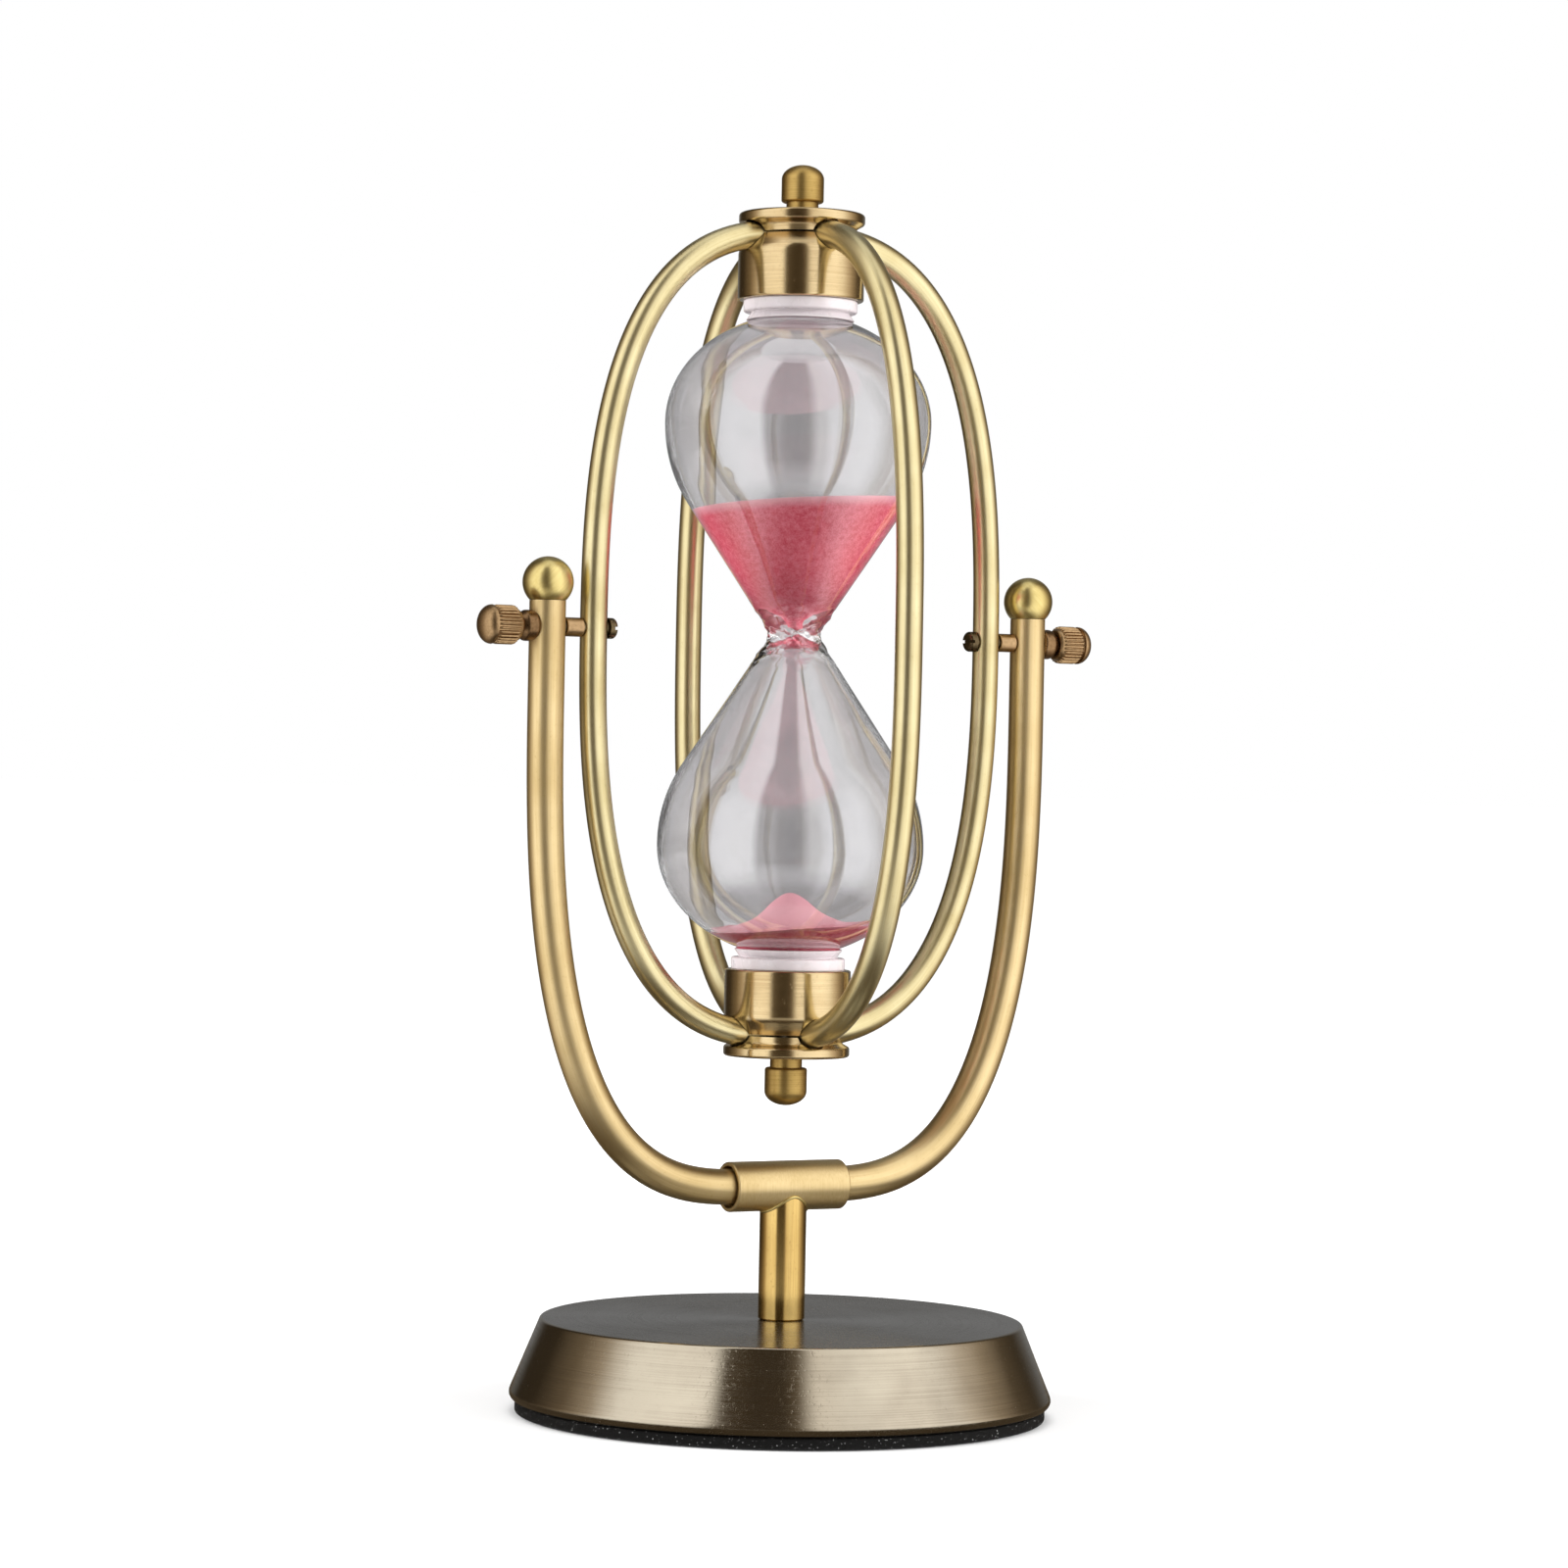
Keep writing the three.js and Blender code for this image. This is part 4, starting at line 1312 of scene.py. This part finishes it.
def sand_surface(radius, angle, level, heap):
    """Height of the surface over a place in the bulb."""
    tilt = lean * radius * np.cos(angle - heading)
    ripple = sum(size * np.sin(count * angle + turn * radius) for size, count, turn in sand_ripples)
    hill = heap * np.exp(-((radius / hill_width) ** hill_sharpness))
    return level + tilt + hill + ripple * np.minimum(radius, calm_middle) / calm_middle


def sand_body(level, floor, heap, down):
    """Sand in the upper bulb, or in the lower one, which is worked out upside down."""
    angle = np.linspace(0, 2 * math.pi, sand_sides, endpoint=False)
    sign = -1 if down else 1
    edge = np.full(sand_sides, level * sign, float)
    for _ in range(level_rounds):
        edge = sign * sand_surface(wall_radius(edge), angle, level, heap)
    rings = []
    for share in np.linspace(0, 1, wall_steps + 1):
        height = floor * (1 - share) + edge * share
        radius = wall_radius(height)
        rings.append(np.column_stack([radius * np.cos(angle), radius * np.sin(angle), sign * height]))
    outer_edge = wall_radius(edge)
    for share in np.linspace(1, 0, top_steps + 1)[1:-1]:
        radius = outer_edge * share
        height = sand_surface(radius, angle, level, heap)
        rings.append(np.column_stack([radius * np.cos(angle), radius * np.sin(angle), height]))
    low = len(rings) * sand_sides
    points = np.vstack(rings + [[[0, 0, sign * floor], [0, 0, level + heap]]])
    faces = []
    for j in range(sand_sides):
        k = (j + 1) % sand_sides
        faces.append([low, k, j])
        faces.append([low + 1, low - sand_sides + j, low - sand_sides + k])
        for i in range(0, low - sand_sides, sand_sides):
            faces.append([i + j, i + k, i + sand_sides + k, i + sand_sides + j])
    return points + (0, 0, pivot), faces


def mark_rim_light(piece, level, share, depth):
    """Stores painted light: how near each point is to the loose top of the sand, where light comes
    through or falls on it.
    """
    x, y, z = points_of(piece).T
    below = sand_surface(np.hypot(x, y), np.arctan2(y, x), level, 0.0) - (z - pivot)
    rim = share * np.clip(1 - below / depth, 0, 1)
    stored = piece.data.attributes.new("rim", "FLOAT", "POINT")
    stored.data.foreach_set("value", rim.astype(np.float32))


upper = object_of("upper_sand_fill", sand_body(upper_level, upper_floor, heap=0.0, down=False))
mark_rim_light(upper, upper_level, share=1.0, depth=2.2)
finished(upper, sand, "cage", "pink_sand", "upper_sand")
lower = object_of("lower_sand_fill", sand_body(lower_level, lower_floor, hill_height, down=True))
mark_rim_light(lower, lower_light_level, share=0.75, depth=1.3)
finished(lower, sand, "cage", "pink_sand", "lower_sand")

# %% [markdown]
# The studio is a pale floor in a white surround, with two soft lamps low at the sides, which light the
# sand, and one above. To the eye and in reflections the surround is full white, and as a light it is
# dimmer, so that the colours stay as they are written. The lamps give light and shadow, and metal and
# glass don't mirror them, because what these mirror is painted in the next step.

# %% Surround and lamps
ambient = 0.42
camera_azimuth = -29.3
object_middle = Vector((0, 0, 0.17))
side_lamp = {"distance": 1.3, "height": 0.35, "size": (0.9, 1.2)}
top_lamp = {"distance": 0.3, "height": 1.3, "size": (0.8, 0.8)}


def seen_rays(graph):
    """One for a ray that shows a thing to the eye, directly, mirrored or through glass."""
    path = graph.node("ShaderNodeLightPath")
    first = graph.math("MAXIMUM", path["Is Camera Ray"], path["Is Glossy Ray"])
    return graph.math("MAXIMUM", first, path["Is Transmission Ray"])


world = bpy.data.worlds.new("white_surround")
scene.world = world
world.use_nodes = True
graph = Graph(world.node_tree)
seen = seen_rays(graph)
strength = seen + (1 - seen) * ambient
light = graph.node("ShaderNodeBackground", None, {"Color": (1, 1, 1, 1), "Strength": strength})
graph.node("ShaderNodeOutputWorld", None, {"Surface": light["Background"]})


def around_object(azimuth, distance, height):
    """A place round the axis of the object, in degrees from the camera, in metres."""
    angle = math.radians(camera_azimuth + azimuth)
    return Vector((distance * math.sin(angle), -distance * math.cos(angle), height))


def soft_lamp(name, azimuth, distance, height, size, radiance):
    lamp = bpy.data.lights.new(name, "AREA")
    lamp.shape = "RECTANGLE"
    lamp.size, lamp.size_y = size
    lamp.energy = radiance * math.pi * size[0] * size[1]
    made = bpy.data.objects.new(name, lamp)
    scene.collection.objects.link(made)
    made.location = around_object(azimuth, distance, height)
    made.rotation_euler = (object_middle - made.location).to_track_quat("-Z", "Y").to_euler()
    made.visible_camera = False
    made.visible_glossy = False
    made.visible_transmission = False
    print(name, "has", round(lamp.energy, 1), "watts")


soft_lamp("left_lamp", azimuth=-80, radiance=9.2, **side_lamp)
soft_lamp("right_lamp", azimuth=76, radiance=8.8, **side_lamp)
soft_lamp("top_lamp", azimuth=0, radiance=4.6, **top_lamp)

# %% [markdown]
# Bare brass shows what stands round it more than its own colour, so a paper screen goes all round the
# set, on the floor and up the sides, for reflections alone. It glows with painted reflections, painted
# by the compass: two bright banks at the left and the right of the camera, a dark gap between them, a
# slow fall to brown towards the back, and a dark ring on the floor round the base, a painted shadow of
# the object. Its front is seen by rays from the glass too. Its rear is hidden from them, so that the
# bulbs show what really stands behind them.


# %% Screen
def unseen(thing, *kinds):
    """Hides a part of the studio from some kinds of rays."""
    for kind in kinds:
        setattr(thing, "visible_" + kind, False)


# Pairs of a bearing from the camera in degrees and a level of paint.
screen_paint = [
    (-180, 0.16), (-160, 0.14), (-146, 0.03), (-128, 0.04), (-106, 0.16), (-92, 0.42), (-76, 1.0),
    (-58, 1.08), (-44, 1.12), (-34, 1.1), (-27, 0.08), (-12, 0.05), (2, 0.05), (9, 0.12), (18, 0.9),
    (34, 1.0), (50, 1.12), (66, 1.2), (80, 1.05), (94, 0.66), (108, 0.34), (124, 0.1), (140, 0.05),
    (160, 0.14), (180, 0.16),
]
ground_paint = [
    (-180, 0.2), (-125, 0.25), (-95, 0.7), (-70, 1.0), (70, 1.08), (95, 0.8), (125, 0.3), (180, 0.2),
]
full_paint = 1.25
# The paint level of the painted shadow round the base.
painted_shadow_level = 0.06
brown_limit = 150
brown_loss = (0.0, 0.26, 0.55)
screen_strength = 1.72
screen_radius = 1.6
screen_height = 4.5
screen_lift = 0.0005
degrees_per_face = 2


def painted(level, azimuth=0):
    """Paint of one level: white when bright, and when dark a warm brown, or grey at the back."""
    warm = max(0.0, 1 - level) if abs(azimuth) < brown_limit else 0.0
    share = level / full_paint
    return (*(share * (1 - loss * warm) for loss in brown_loss), 1.0)


def compass(graph, bearing, paint):
    """The colours of a list of paints, by the bearing round the object."""
    stops = [((azimuth + 180) / 360, painted(level, azimuth)) for azimuth, level in paint]
    return graph.node("ShaderNodeValToRGB", {"stops": stops}, {0: bearing})["Color"]


def screen_finish():
    material, graph = surface("painted_screen")
    bearing, dusk, ground = (
        graph.node("ShaderNodeAttribute", {"attribute_name": name})["Fac"]
        for name in ("bearing", "dusk", "ground")
    )
    wall_colour = compass(graph, bearing, screen_paint)
    colour = graph.mixed(ground, wall_colour, compass(graph, bearing, ground_paint))
    # Painted shadow: dark paint on the screen near the base.
    colour = graph.mixed(dusk, colour, painted(painted_shadow_level))
    sockets = {"Color": colour, "Strength": screen_strength}
    light = graph.node("ShaderNodeEmission", None, sockets)["Emission"]
    graph.node("ShaderNodeOutputMaterial", None, {"Surface": light})
    material.cycles.emission_sampling = "NONE"
    return material


def screen_part(name, start, end, rows, *hidden):
    """The screen between two bearings. A row is a distance, a height, and shares of painted shadow and
    ground.
    """
    columns = (end - start) // degrees_per_face + 1
    bearing = np.linspace(start, end, columns)
    angle = np.radians(bearing + camera_azimuth)
    outward = np.column_stack([np.sin(angle), -np.cos(angle)])
    points = np.vstack([np.column_stack([outward * row[0], np.full(columns, row[1])]) for row in rows])
    faces = []
    for i in range(0, (len(rows) - 1) * columns, columns):
        for j in range(i, i + columns - 1):
            faces.append([j, j + 1, j + columns + 1, j + columns])
    screen = object_of(name, (points * 1000, faces))
    values = {
        "bearing": np.tile((bearing + 180) / 360, len(rows)),
        "dusk": np.repeat([row[2] for row in rows], columns),
        "ground": np.repeat([row[3] for row in rows], columns),
    }
    for label, value in values.items():
        stored = screen.data.attributes.new(label, "FLOAT", "POINT")
        stored.data.foreach_set("value", value.astype(np.float32))
    screen.data.materials.append(screen_paper)
    unseen(screen, "camera", "diffuse", "shadow", *hidden)


screen_paper = screen_finish()
screen_rows = [
    (0.02, screen_lift, 1.0, 0.0),
    (0.12, screen_lift, 1.0, 0.6),
    (0.17, screen_lift, 0.4, 0.6),
    (0.26, screen_lift, 0.0, 0.3),
    (0.4, screen_lift, 0.0, 0.0),
    (screen_radius, screen_lift, 0.0, 0.0),
    (screen_radius, screen_height, 0.0, 0.0),
]
screen_part("screen_front", -100, 100, screen_rows)
screen_part("screen_rear_left", -180, -100, screen_rows, "transmission")
screen_part("screen_rear_right", 100, 180, screen_rows, "transmission")
print("the screen has", len(screen_rows), "rows and", len(screen_paint), "paints")

# %% [markdown]
# A grey sheet stands behind the object and is seen only through the glass, to which it gives its grey.
# The floor is matt paper. Far out it also glows to the eye until it is as white as the surround, so
# that no horizon shows, and near the object it hardly does, so that it keeps the object's shadow.

# %% Sheet and floor
sheet_half_width, sheet_height = 900.0, 1800.0
sheet_distance, sheet_foot = 1.8, -0.3
floor_half_width = 60000.0
floor_gap = 0.2
glow_start, glow_end = 120, 700
near_glow, far_glow = 0.06, 0.7


def grey_sheet():
    width, tall = sheet_half_width, sheet_height
    points = np.array([(-width, 0, 0), (width, 0, 0), (width, 0, tall), (-width, 0, tall)])
    sheet = object_of("grey_sheet", (points, [[0, 1, 2, 3]]))
    material, graph = surface("grey_sheet")
    fade = graph.noise(graph.place(), 0.004, 1.0)
    sockets = {"Color": graph.mixed(fade, (0.76, 0.76, 0.77, 1), (0.7, 0.7, 0.71, 1))}
    light = graph.node("ShaderNodeEmission", None, sockets)["Emission"]
    graph.node("ShaderNodeOutputMaterial", None, {"Surface": light})
    material.cycles.emission_sampling = "NONE"
    sheet.data.materials.append(material)
    sheet.location = around_object(180, sheet_distance, sheet_foot)
    sheet.rotation_euler = (0, 0, math.radians(camera_azimuth))
    unseen(sheet, "camera", "diffuse", "glossy", "shadow")


grey_sheet()

corners = np.array([(-1, -1, 0), (1, -1, 0), (1, 1, 0), (-1, 1, 0)], float) * floor_half_width
floor = object_of("floor", (corners - (0, 0, floor_gap), [[0, 1, 2, 3]]))
floor_material, graph = surface("pale_floor")
place = graph.place()
paper = graph.noise(place, 0.02, 3.0)
sockets = {"Color": graph.mixed(paper, (0.82, 0.82, 0.82, 1), (0.8, 0.8, 0.8, 1))}
matt = graph.node("ShaderNodeBsdfDiffuse", None, sockets)["BSDF"]
away = graph.node("ShaderNodeVectorMath", {"operation": "LENGTH"}, {0: place})["Value"]
strength = seen_rays(graph) * graph.ranged(away, glow_start, glow_end, near_glow, far_glow)
glow = graph.node("ShaderNodeEmission", None, {"Strength": strength})["Emission"]
both = graph.node("ShaderNodeAddShader", None, {0: matt, 1: glow})["Shader"]
graph.node("ShaderNodeOutputMaterial", None, {"Surface": both})
floor.data.materials.append(floor_material)
print("the floor glows from", near_glow, "to", far_glow)

# %% [markdown]
# The camera stands level with the middle of the object, about a metre away. A long lens from there
# shows the cage with little perspective. The picture leans a degree to the right, and so does the
# camera. The Standard view shows colours as they are written.

# %% Camera
camera_distance = 1.049
camera_height = 0.141
camera_roll = -1.1
camera_yaw = 0.09
camera_data = bpy.data.cameras.new("camera")
camera_data.sensor_width = 36
camera_data.lens = 107.4
camera = bpy.data.objects.new("camera", camera_data)
scene.collection.objects.link(camera)
camera.location = around_object(0, camera_distance, camera_height)
camera_turn = math.radians(camera_azimuth + camera_yaw)
camera.rotation_euler = (math.pi / 2, math.radians(camera_roll), camera_turn)
scene.camera = camera
scene.view_settings.view_transform = "Standard"
print("camera at", [round(v, 3) for v in camera.location])
